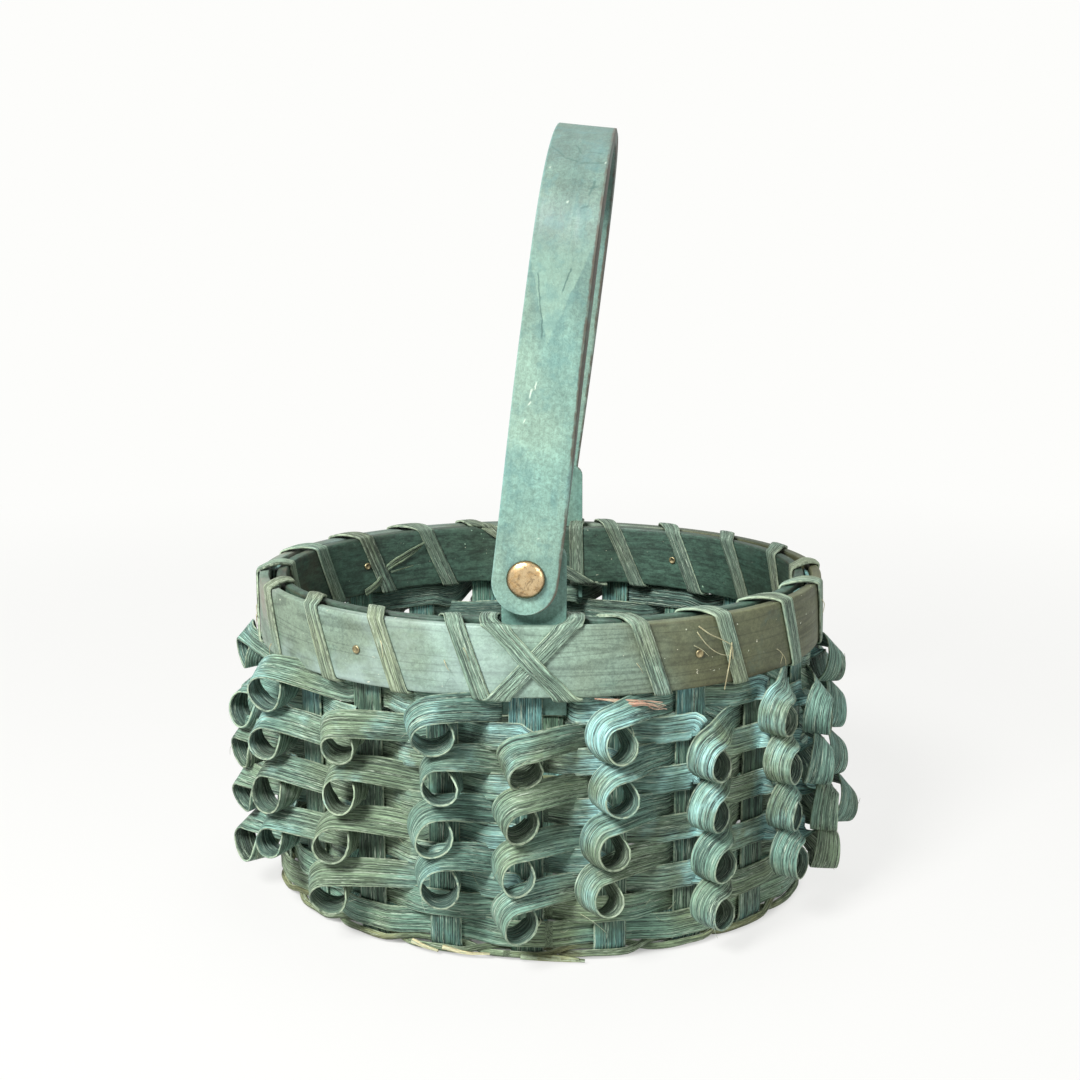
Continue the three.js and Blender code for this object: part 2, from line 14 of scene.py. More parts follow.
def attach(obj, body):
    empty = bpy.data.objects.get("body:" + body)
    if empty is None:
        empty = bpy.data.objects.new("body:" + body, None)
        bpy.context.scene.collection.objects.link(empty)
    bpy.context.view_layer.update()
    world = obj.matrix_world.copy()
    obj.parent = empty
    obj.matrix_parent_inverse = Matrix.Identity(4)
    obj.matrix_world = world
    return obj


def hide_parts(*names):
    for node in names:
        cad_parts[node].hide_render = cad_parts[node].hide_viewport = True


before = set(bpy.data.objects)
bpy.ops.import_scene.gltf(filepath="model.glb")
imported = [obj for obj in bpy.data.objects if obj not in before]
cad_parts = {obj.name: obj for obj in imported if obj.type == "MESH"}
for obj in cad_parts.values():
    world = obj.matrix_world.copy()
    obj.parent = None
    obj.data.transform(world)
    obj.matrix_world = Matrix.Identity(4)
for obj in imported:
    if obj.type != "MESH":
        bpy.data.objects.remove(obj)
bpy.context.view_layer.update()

MM = 0.001
BASKET = "basket_body"
HANDLE = "swing_handle"
UP = np.array([0.0, 0.0, 1.0])

# Sizes of the basket, close to those of the solids
WALL_HALF_LENGTH = 104.0
WALL_HALF_DEPTH = 83.0
STAKES = 20
STAKE_TOP = 122.6
STAKE_BEND = 4.2
STAKE_SPLAY = 5.0
LAYER_STEP = 1.5
BASE_MIDDLE = 1.35
CURLED_ROWS = 8
PLAIN_ROWS = 2
TOP_ROW = 92.9
ROW_PITCH = 9.2
PASS_OFFSET = 1.65
RIM_TOP = 124.0
RIM_BOTTOM = 99.0
BAND_THICKNESS = 4.1
BAND_INSIDE = 1.27
EAR_WIDTH = 22.0
EAR_THICKNESS = 4.0
EAR_TOP = 150.4
EAR_BOTTOM = 91.0
AXIS_HEIGHT = 141.0
LEAN = math.radians(7.5)

# Width and thickness of the strips as the photo shows them
STAKE_SIZE = (11.8, 1.2)
WEAVER_SIZE = (10.2, 1.0)
LASH_SIZE = (6.1, 1.0)
TWINE_SIZE = (2.4, 2.4)

HALF_ROUND = STAKES // 2
RIM_MIDDLE = (RIM_TOP + RIM_BOTTOM) / 2
BAND_FACE = BAND_INSIDE + BAND_THICKNESS

rng = np.random.default_rng(1907)


def reached(points):
    """Length along a line at each of its points."""
    return np.concatenate([[0], np.cumsum(np.linalg.norm(np.diff(points, axis=0), axis=1))])


# The oval of the wall, by length along it from the middle of the front towards +X
OVAL_TURN = np.linspace(-math.pi / 2, 3 * math.pi / 2, 20001)
OVAL_REACH = reached(
    np.stack([WALL_HALF_LENGTH * np.cos(OVAL_TURN), WALL_HALF_DEPTH * np.sin(OVAL_TURN)], axis=1)
)
GIRTH = OVAL_REACH[-1]
SPACING = GIRTH / STAKES


def wall(along):
    """Foot, run along the wall and way out of it, at a length along the oval."""
    angle = np.interp(np.mod(along, GIRTH), OVAL_REACH, OVAL_TURN)
    foot = np.array([WALL_HALF_LENGTH * math.cos(angle), WALL_HALF_DEPTH * math.sin(angle), 0.0])
    run = np.array([-WALL_HALF_LENGTH * math.sin(angle), WALL_HALF_DEPTH * math.cos(angle), 0.0])
    run /= np.linalg.norm(run)
    return foot, run, np.array([run[1], -run[0], 0.0])


def on_wall(along, outward, height):
    foot, _, out = wall(along)
    return foot + out * outward + UP * height


def unit(vector):
    return vector / np.linalg.norm(vector)


def ease(value, low, high):
    share = np.clip((value - low) / (high - low), 0, 1)
    return share * share * (3 - 2 * share)


def placed(name, data):
    """A new object of the scene."""
    thing = bpy.data.objects.new(name, data)
    bpy.context.scene.collection.objects.link(thing)
    return thing


def mesh_from(name, made):
    """A mesh of what was built point by point."""
    mesh = bpy.data.meshes.new(name)
    made.to_mesh(mesh)
    made.free()
    return mesh


def settle(thing, body, slot, *nodes):
    """Puts a finished piece on its body, in place of the solids it stands for."""
    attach(thing, body)
    if nodes:
        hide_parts(*nodes)


# Paths of strips


# What a key holds after the middle of the strip and the way across it
STEP, FRESH, SWELL = 6, 7, 8


def key(near_edge, across, width, step=3.0, fresh=0.3, swell=1.0):
    """One place on a path, from the strip's near edge and the way to its far edge."""
    across = unit(np.asarray(across, float))
    middle = np.asarray(near_edge, float) + across * width / 2
    return np.concatenate([middle, across, [step, fresh, swell]])


def through_keys(keys, closed):
    """A smooth run of stations through the keys, as rows of the same kind."""
    keys = np.array(keys)
    count = len(keys)
    if closed:
        ring = np.concatenate([keys[-1:], keys, keys[:2]])
    else:
        ring = np.concatenate([[2 * keys[0] - keys[1]], keys, [2 * keys[-1] - keys[-2]]])
    gaps = np.maximum(np.linalg.norm(np.diff(ring[:, :3], axis=0), axis=1), 1e-6)
    rows = []
    for i in range(1, count + 1 if closed else count):
        before, gap, after = gaps[i - 1], gaps[i], gaps[i + 1]
        p0, p1, p2, p3 = ring[i - 1 : i + 3]
        start = ((p1 - p0) / before * gap + (p2 - p1) / gap * before) / (before + gap) * gap
        end = ((p2 - p1) / gap * after + (p3 - p2) / after * gap) / (gap + after) * gap
        steps = max(1, round(gap / min(p1[STEP], p2[STEP])))
        for t in np.arange(steps) / steps:
            rows.append(
                (2 * t**3 - 3 * t**2 + 1) * p1
                + (t**3 - 2 * t**2 + t) * start
                + (3 * t**2 - 2 * t**3) * p2
                + (t**3 - t**2) * end
            )
    if not closed:
        rows.append(keys[-1])
    return np.array(rows)


class Paths:
    """Lines of stations that a strip is grown along."""

    def __init__(self, keys=None, closed=False):
        self.rows, self.edges, self.seeds = [], [], []
        if keys:
            self.add(keys, closed)

    def add(self, keys, closed=False):
        rows = through_keys(keys, closed)
        first = len(self.rows)
        self.rows.extend(rows)
        self.seeds.extend([len(self.seeds) * 0.0137 % 7] * len(rows))
        self.edges.extend((first + i, first + i + 1) for i in range(len(rows) - 1))
        if closed:
            self.edges.append((first + len(rows) - 1, first))

    def mesh(self, name, skewed):
        """Edges of a mesh with the way across; skewed stations keep that way as it is given."""
        rows = np.array(self.rows)
        mesh = bpy.data.meshes.new(name)
        mesh.from_pydata([tuple(p) for p in rows[:, :3] * MM], self.edges, [])
        across = rows[:, 3:6]
        along = np.zeros_like(across)
        for a, b in self.edges:
            leg = unit(rows[b, :3] - rows[a, :3])
            along[a] += leg
            along[b] += leg
        along /= np.maximum(np.linalg.norm(along, axis=1, keepdims=True), 1e-9)
        if skewed:
            across /= np.linalg.norm(across, axis=1, keepdims=True)
            slant = np.linalg.norm(np.cross(along, across), axis=1)
            rows[:, SWELL] /= np.clip(slant, 0.62, 1)
        else:
            across = across - along * np.sum(across * along, axis=1, keepdims=True)
            across /= np.maximum(np.linalg.norm(across, axis=1, keepdims=True), 1e-9)
        mark_points(mesh, "across", across)
        mark_points(mesh, "fresh", rows[:, FRESH])
        mark_points(mesh, "swell", rows[:, SWELL])
        mark_points(mesh, "strip_seed", np.array(self.seeds))
        return mesh


def mark_points(mesh, name, values):
    """Keeps a number or a vector at each point of a mesh."""
    kind, label = ("FLOAT_VECTOR", "vector") if values.ndim == 2 else ("FLOAT", "value")
    data = mesh.attributes.new(name, kind, "POINT").data
    data.foreach_set(label, values.astype(np.float32).ravel())


# Node trees


def srgb(text):
    """Linear colour of a #rrggbb value."""
    parts = [int(text[i : i + 2], 16) / 255 for i in (1, 3, 5)]
    return tuple(p / 12.92 if p <= 0.04045 else ((p + 0.055) / 1.055) ** 2.4 for p in parts) + (1.0,)


class Value:
    """An output of a node; a sum written with it becomes math nodes."""

    def __init__(self, tree, socket):
        self.tree = tree
        self.socket = socket

    def __add__(self, other):
        return self.tree.math("ADD", self, other)

    def __radd__(self, other):
        return self.tree.math("ADD", other, self)

    def __sub__(self, other):
        return self.tree.math("SUBTRACT", self, other)

    def __rsub__(self, other):
        return self.tree.math("SUBTRACT", other, self)

    def __mul__(self, other):
        return self.tree.math("MULTIPLY", self, other)

    def __truediv__(self, other):
        return self.tree.math("DIVIDE", self, other)

    def __pow__(self, other):
        return self.tree.math("POWER", self, other)

    def __abs__(self):
        return self.tree.math("ABSOLUTE", self)

    def ramp(self, low, high, to_low=0.0, to_high=1.0):
        """A smooth step from to_low, at the value low, to to_high, at the value high."""
        inputs = dict(enumerate((self, low, high, to_low, to_high)))
        return self.tree.out("ShaderNodeMapRange", inputs, interpolation_type="SMOOTHSTEP")


class Tree:
    """A node tree under construction."""

    def __init__(self, tree):
        self.tree = tree

    def set(self, socket, value):
        if isinstance(value, Value):
            self.tree.links.new(value.socket, socket)
        elif isinstance(value, str) and value.startswith("#"):
            socket.default_value = srgb(value)
        else:
            socket.default_value = value

    def node(self, kind, inputs=None, **settings):
        made = self.tree.nodes.new(kind)
        for name, value in settings.items():
            setattr(made, name, value)
        for name, value in (inputs or {}).items():
            self.set(made.inputs[name], value)
        return made

    def out(self, kind, inputs=None, output=0, **settings):
        return Value(self, self.node(kind, inputs, **settings).outputs[output])

    def math(self, operation, *values, clamp=False):
        return self.out("ShaderNodeMath", dict(enumerate(values)), operation=operation, use_clamp=clamp)

    def parts(self, vector):
        return [Value(self, s) for s in self.node("ShaderNodeSeparateXYZ", {"Vector": vector}).outputs]

    def vector(self, x, y, z=0.0):
        return self.out("ShaderNodeCombineXYZ", {"X": x, "Y": y, "Z": z})

    def noise(self, vector, scale, detail=2.0, roughness=0.5, distortion=0.0):
        inputs = {"Vector": vector, "Scale": scale, "Detail": detail}
        inputs |= {"Roughness": roughness, "Distortion": distortion}
        return self.out("ShaderNodeTexNoise", inputs)

    def stretched(self, vector, across, through, along):
        inputs = {0: vector, 1: (across, through, along)}
        return self.out("ShaderNodeVectorMath", inputs, operation="MULTIPLY")

    def mix(self, share, first, second, blend="MIX"):
        inputs = {0: share, 6: first, 7: second}
        return self.out("ShaderNodeMix", inputs, 2, data_type="RGBA", blend_type=blend)

    def toned(self, colour, tone):
        return self.mix(1.0, colour, self.vector(tone, tone, tone), "MULTIPLY")

    def position(self):
        return self.out("ShaderNodeTexCoord", output="Object")

    def attribute(self, name, output="Fac"):
        return self.out("ShaderNodeAttribute", output=output, attribute_name=name)

    def grouped(self, group, **inputs):
        """The outputs, by name, of a group given these inputs."""
        made = self.tree.nodes.new("ShaderNodeGroup")
        made.node_tree = group
        for label, value in inputs.items():
            self.set(made.inputs[label.replace("_", " ")], value)
        return {socket.name: Value(self, socket) for socket in made.outputs}

    def named(self, name, kind="FLOAT"):
        return self.out("GeometryNodeInputNamedAttribute", {"Name": name}, data_type=kind)

    def stored(self, geometry, name, value, kind="FLOAT"):
        inputs = {"Geometry": geometry, "Name": name, "Value": value}
        settings = {"data_type": kind, "domain": "POINT"}
        return self.out("GeometryNodeStoreNamedAttribute", inputs, **settings)

    def give(self, values):
        """Makes the outputs of a group."""
        kinds = {"VALUE": "Float", "RGBA": "Color", "GEOMETRY": "Geometry"}
        for label, value in values.items():
            kind = "NodeSocket" + kinds[value.socket.type]
            self.tree.interface.new_socket(name=label, in_out="OUTPUT", socket_type=kind)
        self.node("NodeGroupOutput", values)
        return self.tree


def socket_kind(value):
    if isinstance(value, str):
        return "NodeSocket" + value
    if isinstance(value, tuple):
        return "NodeSocketVector" if len(value) == 3 else "NodeSocketColor"
    return "NodeSocketInt" if isinstance(value, int) else "NodeSocketFloat"


def node_group(name, kind, inputs):
    """A new group and its inputs by name; a word instead of a value names the kind of the input."""
    tree = bpy.data.node_groups.new(name, kind)
    for label, value in inputs.items():
        socket = tree.interface.new_socket(name=label, in_out="INPUT", socket_type=socket_kind(value))
        if not isinstance(value, str):
            socket.default_value = value
    t = Tree(tree)
    return t, {s.name: Value(t, s) for s in t.node("NodeGroupInput").outputs if s.name}


def strip_tree():
    """Grows a strip of splint, reed or band along each path of the mesh it is given."""
    inputs = {"Paths": "Geometry", "Width": 0.009, "Thickness": 0.0008, "Corners": 28}
    inputs |= {"Side Fullness": 1.0, "Face Fullness": 0.3, "Rib Depth": 0.0001, "Rib Scale": 900.0}
    inputs |= {"Seed": 0.0, "Material": "Material"}
    t, given = node_group("strip_along_path", "GeometryNodeTree", inputs)
    t.tree.is_modifier = True
    rail = t.out("GeometryNodeMeshToCurve", {"Mesh": given["Paths"]})
    across = t.named("across", "FLOAT_VECTOR")
    rail = t.out("GeometryNodeSetCurveNormal", {"Curve": rail, "Normal": across}, mode="FREE")
    rail = t.stored(rail, "reach", t.out("GeometryNodeSplineParameter", output="Length"))

    def fuller(value, fullness):
        return abs(value) ** fullness * t.math("SIGN", value)

    half_width, half_thickness = given["Width"] / 2.0, given["Thickness"] / 2.0
    ring = t.out("GeometryNodeCurvePrimitiveCircle", {"Resolution": given["Corners"], "Radius": 1.0})
    x, y, _ = t.parts(t.out("GeometryNodeInputPosition"))
    wide, deep = fuller(x, given["Side Fullness"]), fuller(y, given["Face Fullness"])
    profile = t.stored(ring, "profile", t.vector(wide, deep), "FLOAT_VECTOR")
    shape = t.vector(wide * half_width, deep * half_thickness)
    profile = t.out("GeometryNodeSetPosition", {"Geometry": profile, "Position": shape})
    sweep = {"Curve": rail, "Profile Curve": profile, "Scale": t.named("swell"), "Fill Caps": True}
    grown = t.out("GeometryNodeCurveToMesh", sweep)

    side, face, _ = t.parts(t.named("profile", "FLOAT_VECTOR"))
    seed = given["Seed"] + t.named("strip_seed")
    reach = t.named("reach")
    place = t.vector(side * half_width, face * half_thickness + seed, reach)
    edge = abs(side).ramp(0.92, 0.98)
    grown = t.stored(grown, "strip_place", place, "FLOAT_VECTOR")
    grown = t.stored(grown, "thin_edge", edge)
    grown = t.stored(grown, "worn", abs(side) ** 8.0 * abs(face) ** 4.0)
    grown = t.stored(grown, "face_side", face)

    rib_place = t.vector(side * half_width, seed * 0.37 + face * 0.01, reach * 0.012)
    ribs = t.noise(rib_place, given["Rib Scale"])
    lift = (ribs - 0.5) * (given["Rib Depth"] * (1.0 - edge)) * 2.0
    offset = {0: t.out("GeometryNodeInputNormal"), "Scale": lift}
    offset = t.out("ShaderNodeVectorMath", offset, operation="SCALE")
    grown = t.out("GeometryNodeSetPosition", {"Geometry": grown, "Offset": offset})
    grown = t.out("GeometryNodeSetShadeSmooth", {"Geometry": grown})
    grown = t.out("GeometryNodeRealizeInstances", {"Geometry": grown})
    material = given["Material"]
    return t.give({"Mesh": t.out("GeometryNodeSetMaterial", {"Geometry": grown, "Material": material})})


STRIP = strip_tree()


def strip(
    name, paths, size, finish, nodes, corners, ribs, seed, fullness=(1.0, 0.3), skewed=False, slot=None
):
    """Grows a strip along its paths and settles it in place of its nodes.

    The size is its width and thickness, the ribs are their depth and scale.
    """
    source = placed(name + "_paths", paths.mesh(name + "_paths", skewed))
    modifier = source.modifiers.new("grow", "NODES")
    modifier.node_group = STRIP
    values = {"Width": size[0] * MM, "Thickness": size[1] * MM, "Corners": corners}
    values |= {"Side Fullness": fullness[0], "Face Fullness": fullness[1]}
    values |= {"Rib Depth": ribs[0] * MM, "Rib Scale": ribs[1], "Seed": seed}
    values["Material"] = finishes[finish]
    for item in STRIP.interface.items_tree:
        if item.in_out == "INPUT" and item.name in values:
            modifier[item.identifier] = values[item.name]
    source.update_tag()
    seen = source.evaluated_get(bpy.context.evaluated_depsgraph_get())
    made = bpy.data.meshes.new_from_object(seen)
    bpy.data.objects.remove(source)
    made.name = name
    for label in ("across", "profile", "reach", "swell", "strip_seed"):
        if label in made.attributes:
            made.attributes.remove(made.attributes[label])
    settle(placed(name, made), BASKET, slot or finish, *nodes)


# Shader groups


def fibres_group():
    """Long fibres of a split strip, as masks and a height."""
    inputs = {"Place": (0.0, 0.0, 0.0), "Fibre Scale": 1700.0}
    t, given = node_group("strip_fibres", "ShaderNodeTree", inputs)

    def long_noise(across, through, along, scale_share, detail, roughness):
        place = t.stretched(given["Place"], across, through, along)
        return t.noise(place, given["Fibre Scale"] * scale_share, detail, roughness)

    fine = long_noise(1.0, 0.4, 0.07, 1.45, 2.0, 0.7)
    ridges = long_noise(1.0, 0.3, 0.008, 1.15, 1.0, 0.5)
    bundles = long_noise(1.0, 0.3, 0.012, 0.26, 1.0, 0.5)
    other = long_noise(0.9, 0.7, 0.014, 0.62, 2.0, 0.6)
    streaks = fine.ramp(0.38, 0.62, 0.0, 0.36) + bundles.ramp(0.36, 0.64, 0.0, 0.16)
    streaks = ridges.ramp(0.41, 0.59, 0.0, 0.48) + streaks
    pale = abs(other - 0.56).ramp(0.0, 0.035, 1.0, 0.0) * fine.ramp(0.42, 0.58)
    dark = abs(other - 0.44).ramp(0.0, 0.03, 1.0, 0.0)
    height = streaks + (pale * 0.2 - dark * 0.3)
    return t.give({"Streaks": streaks, "Pale Lines": pale, "Dark Lines": dark, "Height": height})


def dye_group():
    """Uneven dye: exposed colour, its olive drift and the fresher blue where light has not reached."""
    inputs = {"Position": (0.0, 0.0, 0.0), "Exposed": srgb("#6f8f80"), "Olive": srgb("#7d8764")}
    inputs |= {"Fresh": srgb("#5f9aa3"), "Freshness": 0.3, "Olive Share": 0.5}
    t, given = node_group("uneven_dye", "ShaderNodeTree", inputs)
    wide = t.noise(given["Position"], 22.0, 2.0, 0.5)
    middle = t.noise(given["Position"], 75.0, 3.0, 0.6)
    small = t.noise(given["Position"], 260.0, 3.0, 0.6)
    olive = t.math("MULTIPLY", wide.ramp(0.42, 0.62), given["Olive Share"], clamp=True)
    colour = t.mix(olive, given["Exposed"], given["Olive"])
    fresh = t.math("ADD", given["Freshness"], (middle - 0.5) * 1.5, clamp=True)
    colour = t.mix(fresh.ramp(0.3, 0.95), colour, given["Fresh"])
    return t.give({"Color": colour, "Blotches": small})


def wood_group():
    """Grain of a thin bent board: long figure, pores, specks, scratches and growth lines."""
    inputs = {"Place": (0.0, 0.0, 0.0), "Figure Scale": 300.0}
    t, given = node_group("board_grain", "ShaderNodeTree", inputs)
    place, scale = given["Place"], given["Figure Scale"]
    figure = t.noise(t.stretched(place, 1.0, 0.6, 0.07), scale, 4.0, 0.6, 0.6)
    pores = t.noise(t.stretched(place, 1.0, 1.0, 0.03), scale * 7.0, 2.0, 0.6)
    specks = t.noise(place, scale * 3.0, 1.0, 0.5).ramp(0.79, 0.83)
    scratch = t.noise(t.stretched(place, 0.35, 1.0, 0.9), scale * 0.55, 1.0, 0.4, 1.2)
    scratches = abs(scratch - 0.5).ramp(0.0, 0.006, 1.0, 0.0)
    scratches = scratches * t.noise(place, scale * 0.25).ramp(0.56, 0.66)
    rings = t.noise(t.stretched(place, 1.0, 0.6, 0.05), scale * 0.7, 1.0, 0.5, 0.8)
    lines = abs(t.math("FRACT", rings * 6.0) - 0.5).ramp(0.0, 0.2, 1.0, 0.0)
    height = figure * 0.5 + pores * 0.35 - scratches * 0.6
    values = {"Figure": figure, "Pores": pores, "Specks": specks, "Scratches": scratches}
    return t.give(values | {"Growth Lines": lines, "Height": height})


FIBRES = fibres_group()
DYE = dye_group()
BOARD_GRAIN = wood_group()


# Finishes

finishes = {}


def material(name):
    made = finishes[name] = bpy.data.materials.new(name)
    made.use_nodes = True
    made.node_tree.nodes.clear()
    return Tree(made.node_tree)


def surface(t, colour, roughness, bumps, **others):
    """Puts the shader on a material; the bumps are their height, depth and strength."""
    normal = t.out("ShaderNodeBump", dict(zip(("Height", "Distance", "Strength"), bumps)))
    inputs = {"Base Color": colour, "Roughness": roughness, "Normal": normal}
    inputs |= {label.replace("_", " "): value for label, value in others.items()}
    t.node("ShaderNodeOutputMaterial", {"Surface": t.out("ShaderNodeBsdfPrincipled", inputs)})


def splint_finish(
    name, exposed, olive, fresh, fibre_scale, olive_share=0.6, contrast=1.0, painted_inner_shade=0.0, painted_back_shade=0.0
):
    """Dyed split wood or reed, with pale ridges, lighter thin edges, painted shade on the strip's inner face
    and painted shade towards the back.
    """
    t = material(name)
    position = t.position()
    fibres = t.grouped(FIBRES, Place=t.attribute("strip_place", "Vector"), Fibre_Scale=fibre_scale)
    colours = {"Exposed": exposed, "Olive": olive, "Fresh": fresh}
    freshness = t.attribute("fresh")
    dye = t.grouped(DYE, Position=position, Freshness=freshness, Olive_Share=olive_share, **colours)
    tone = 1.0 - 0.78 * contrast + fibres["Streaks"] * (1.8 * contrast)
    tone = tone * (0.8 + dye["Blotches"] * 0.46)
    # Painted shade: the strip's inner face is darkened, standing in for the shade inside the curls and the
    # wall
    tone = tone * (1.0 - t.attribute("face_side").ramp(0.1, 0.7) * painted_inner_shade)
    # Painted shade: darker towards the back of the basket, where the inner runs lie in shade
    tone = tone * (1.0 - t.parts(position)[1].ramp(0.02, 0.06) * painted_back_shade)
    colour = t.toned(dye["Color"], tone)
    pale = t.math("MULTIPLY", fibres["Pale Lines"], 0.75 * contrast, clamp=True)
    colour = t.mix(pale, colour, "#c6d6c0")
    colour = t.mix(fibres["Dark Lines"] * (0.6 * contrast), colour, "#263a37")
    bare = t.attribute("thin_edge") * t.noise(position, 520.0, 2.0, 0.6).ramp(0.36, 0.62, 0.15, 0.8)
    colour = t.mix(bare, colour, "#a8b89c")
    roughness = fibres["Streaks"].ramp(0.2, 0.8, 0.76, 0.5)
    surface(t, colour, roughness, (fibres["Height"], 0.0004, 0.9), Specular_IOR_Level=0.45)


def stroke(across, along, start, end, width, wobble):
    """A mask one line wide between two places on a board, in millimetres."""
    (x0, z0), (x1, z1) = start, end
    length = math.hypot(x1 - x0, z1 - z0)
    cx, cz = (x1 - x0) / length, (z1 - z0) / length
    dx, dz = across - x0 * MM, along - z0 * MM
    u = dx * cx + dz * cz
    v = dz * cx - dx * cz + wobble
    thin = abs(v).ramp(0.2 * width * MM, width * MM, 1.0, 0.0)
    fade = 1.2
    return thin * (u.ramp(0.0, fade * MM) * u.ramp((length - fade) * MM, length * MM, 1.0, 0.0))


# Marks on the handle's front leg and crown: start, end and width, across and along the board
HANDLE_CRACKS = [
    ((0.5, 151.5), (10.5, 150.5), 0.6),
    ((-9.5, 163.0), (-4.0, 154.5), 0.5),
    ((-4.5, 155.0), (0.8, 151.8), 0.6),
    ((-1.5, 163.5), (1.8, 155.5), 0.45),
    ((3.0, 158.0), (8.5, 156.0), 0.4),
    ((5.5, 137.0), (7.6, 143.5), 0.6),
    ((4.8, 139.8), (9.0, 140.8), 0.55),
    ((3.2, 133.4), (7.2, 134.2), 0.5),
    ((1.5, 107.0), (3.6, 116.0), 0.4),
    ((-7.6, 113.0), (-4.2, 98.0), 0.4),
    ((-4.3, 99.0), (-3.2, 91.5), 0.4),
]
HANDLE_CHIPS = [
    ((-5.4, 72.0), (-4.4, 76.0), 0.4),
    ((-4.0, 75.0), (-3.2, 78.5), 0.35),
    ((-5.6, 69.5), (-4.8, 72.0), 0.35),
    ((-6.2, 63.5), (-5.6, 66.0), 0.3),
    ((9.2, 150.0), (10.2, 151.5), 0.5),
    ((-0.6, 166.0), (0.4, 166.6), 0.45),
    ((-8.9, 149.0), (-8.3, 150.5), 0.5),
    ((-0.9, 134.5), (-0.2, 136.0), 0.4),
    ((2.2, 26.0), (3.6, 26.9), 0.3),
]


def handle_marks(t, colour, position):
    """The lighter tongue, bluish bruises, cracks and chips on the front leg, the rubbed right side, and a
    painted highlight along the left side.
    """
    across, _, along = t.parts(t.attribute("strip_place", "Vector"))
    jag = (t.noise(position, 240.0, 3.0, 0.6) - 0.5) * 0.007
    over = along - 0.0895 - abs(across + 0.0015) * 2.9 + jag
    tongue = over.ramp(0.0, 0.002) * along.ramp(0.112, 0.13, 1.0, 0.0)
    colour = t.mix(tongue * 0.3, colour, "#8fae9c")
    below = over.ramp(-0.012, 0.0) * over.ramp(0.0, 0.0015, 1.0, 0.0) * along.ramp(0.05, 0.07)
    bruise = t.noise(position, 110.0, 5.0, 0.7).ramp(0.48, 0.66)
    colour = t.mix(t.math("ADD", below * 0.5, bruise, clamp=True) * 0.4, colour, "#4a7271")
    pitted = t.noise(position, 900.0, 4.0, 0.75).ramp(0.52, 0.66)
    colour = t.mix(pitted * 0.22, colour, "#3f625c")
    for marks, wobble, share, tint in (
        (HANDLE_CRACKS, 0.25, 0.7, "#34524b"),
        (HANDLE_CHIPS, 0.4, 0.6, "#cfdccb"),
    ):
        for start, end, width in marks:
            line = stroke(across, along, start, end, width, jag * wobble)
            colour = t.mix(line * share, colour, tint)
    side = t.attribute("side_reach")
    ragged = (t.noise(position, 330.0, 3.0, 0.65) - 0.5) * 0.12
    kept = t.noise(position, 75.0, 4.0, 0.65).ramp(0.44, 0.6, 0.9, 0.35)
    colour = t.mix((side + ragged).ramp(0.9, 0.97) * kept, colour, "#42382d")
    # Painted highlight: a pale blue-green line along the left side, where the light catches the edge
    return t.mix((ragged - side).ramp(0.93, 1.0) * 0.22, colour, "#8db9b4")


def band_marks(t, colour, position):
    """Painted sheen to the left, painted shade on the inner band, rust at the left end, chips, and painted
    shade on the top edge at the back.
    """
    x, y, _ = t.parts(position)
    inner = t.attribute("fresh")
    # Painted sheen: pale blue-grey patches on the left of the outer band stand in for a glossy reflection;
    # the same noise also places the rust and chips
    sheen_and_stain_patches = t.noise(t.stretched(position, 1.0, 1.0, 1.5), 26.0, 4.0, 0.6)
    share = sheen_and_stain_patches.ramp(0.38, 0.68) * x.ramp(-0.05, 0.03, 1.0, 0.0)
    share = share * t.math("SUBTRACT", 1.0, inner, clamp=True)
    colour = t.mix(share * 0.6, colour, "#a3b9b5")
    # Painted shade: the inner band is darkened and tinted bluer
    colour = t.mix(inner, colour, (0.62, 0.88, 0.8, 1.0), "MULTIPLY")
    soot = t.noise(position, 95.0, 4.0, 0.7).ramp(0.55, 0.7)
    colour = t.mix(soot * 0.35, colour, "#4a5d51")
    rust = x.ramp(-0.107, -0.088, 1.0, 0.0) * sheen_and_stain_patches.ramp(0.4, 0.6)
    colour = t.mix(rust * 0.55, colour, "#7a553c")
    # Painted shade: the up-facing top edge at the back is darkened
    painted_top_shade = t.parts(t.out("ShaderNodeNewGeometry", output="Normal"))[2].ramp(0.3, 0.8)
    colour = t.mix(painted_top_shade * y.ramp(0.0, 0.05) * 0.7, colour, "#2f3b30")
    chips = t.noise(t.stretched(position, 1.0, 1.0, 1.6), 520.0, 2.0, 0.6)
    return t.mix(chips.ramp(0.73, 0.77) * sheen_and_stain_patches.ramp(0.4, 0.5) * 0.8, colour, "#d9d8bf")


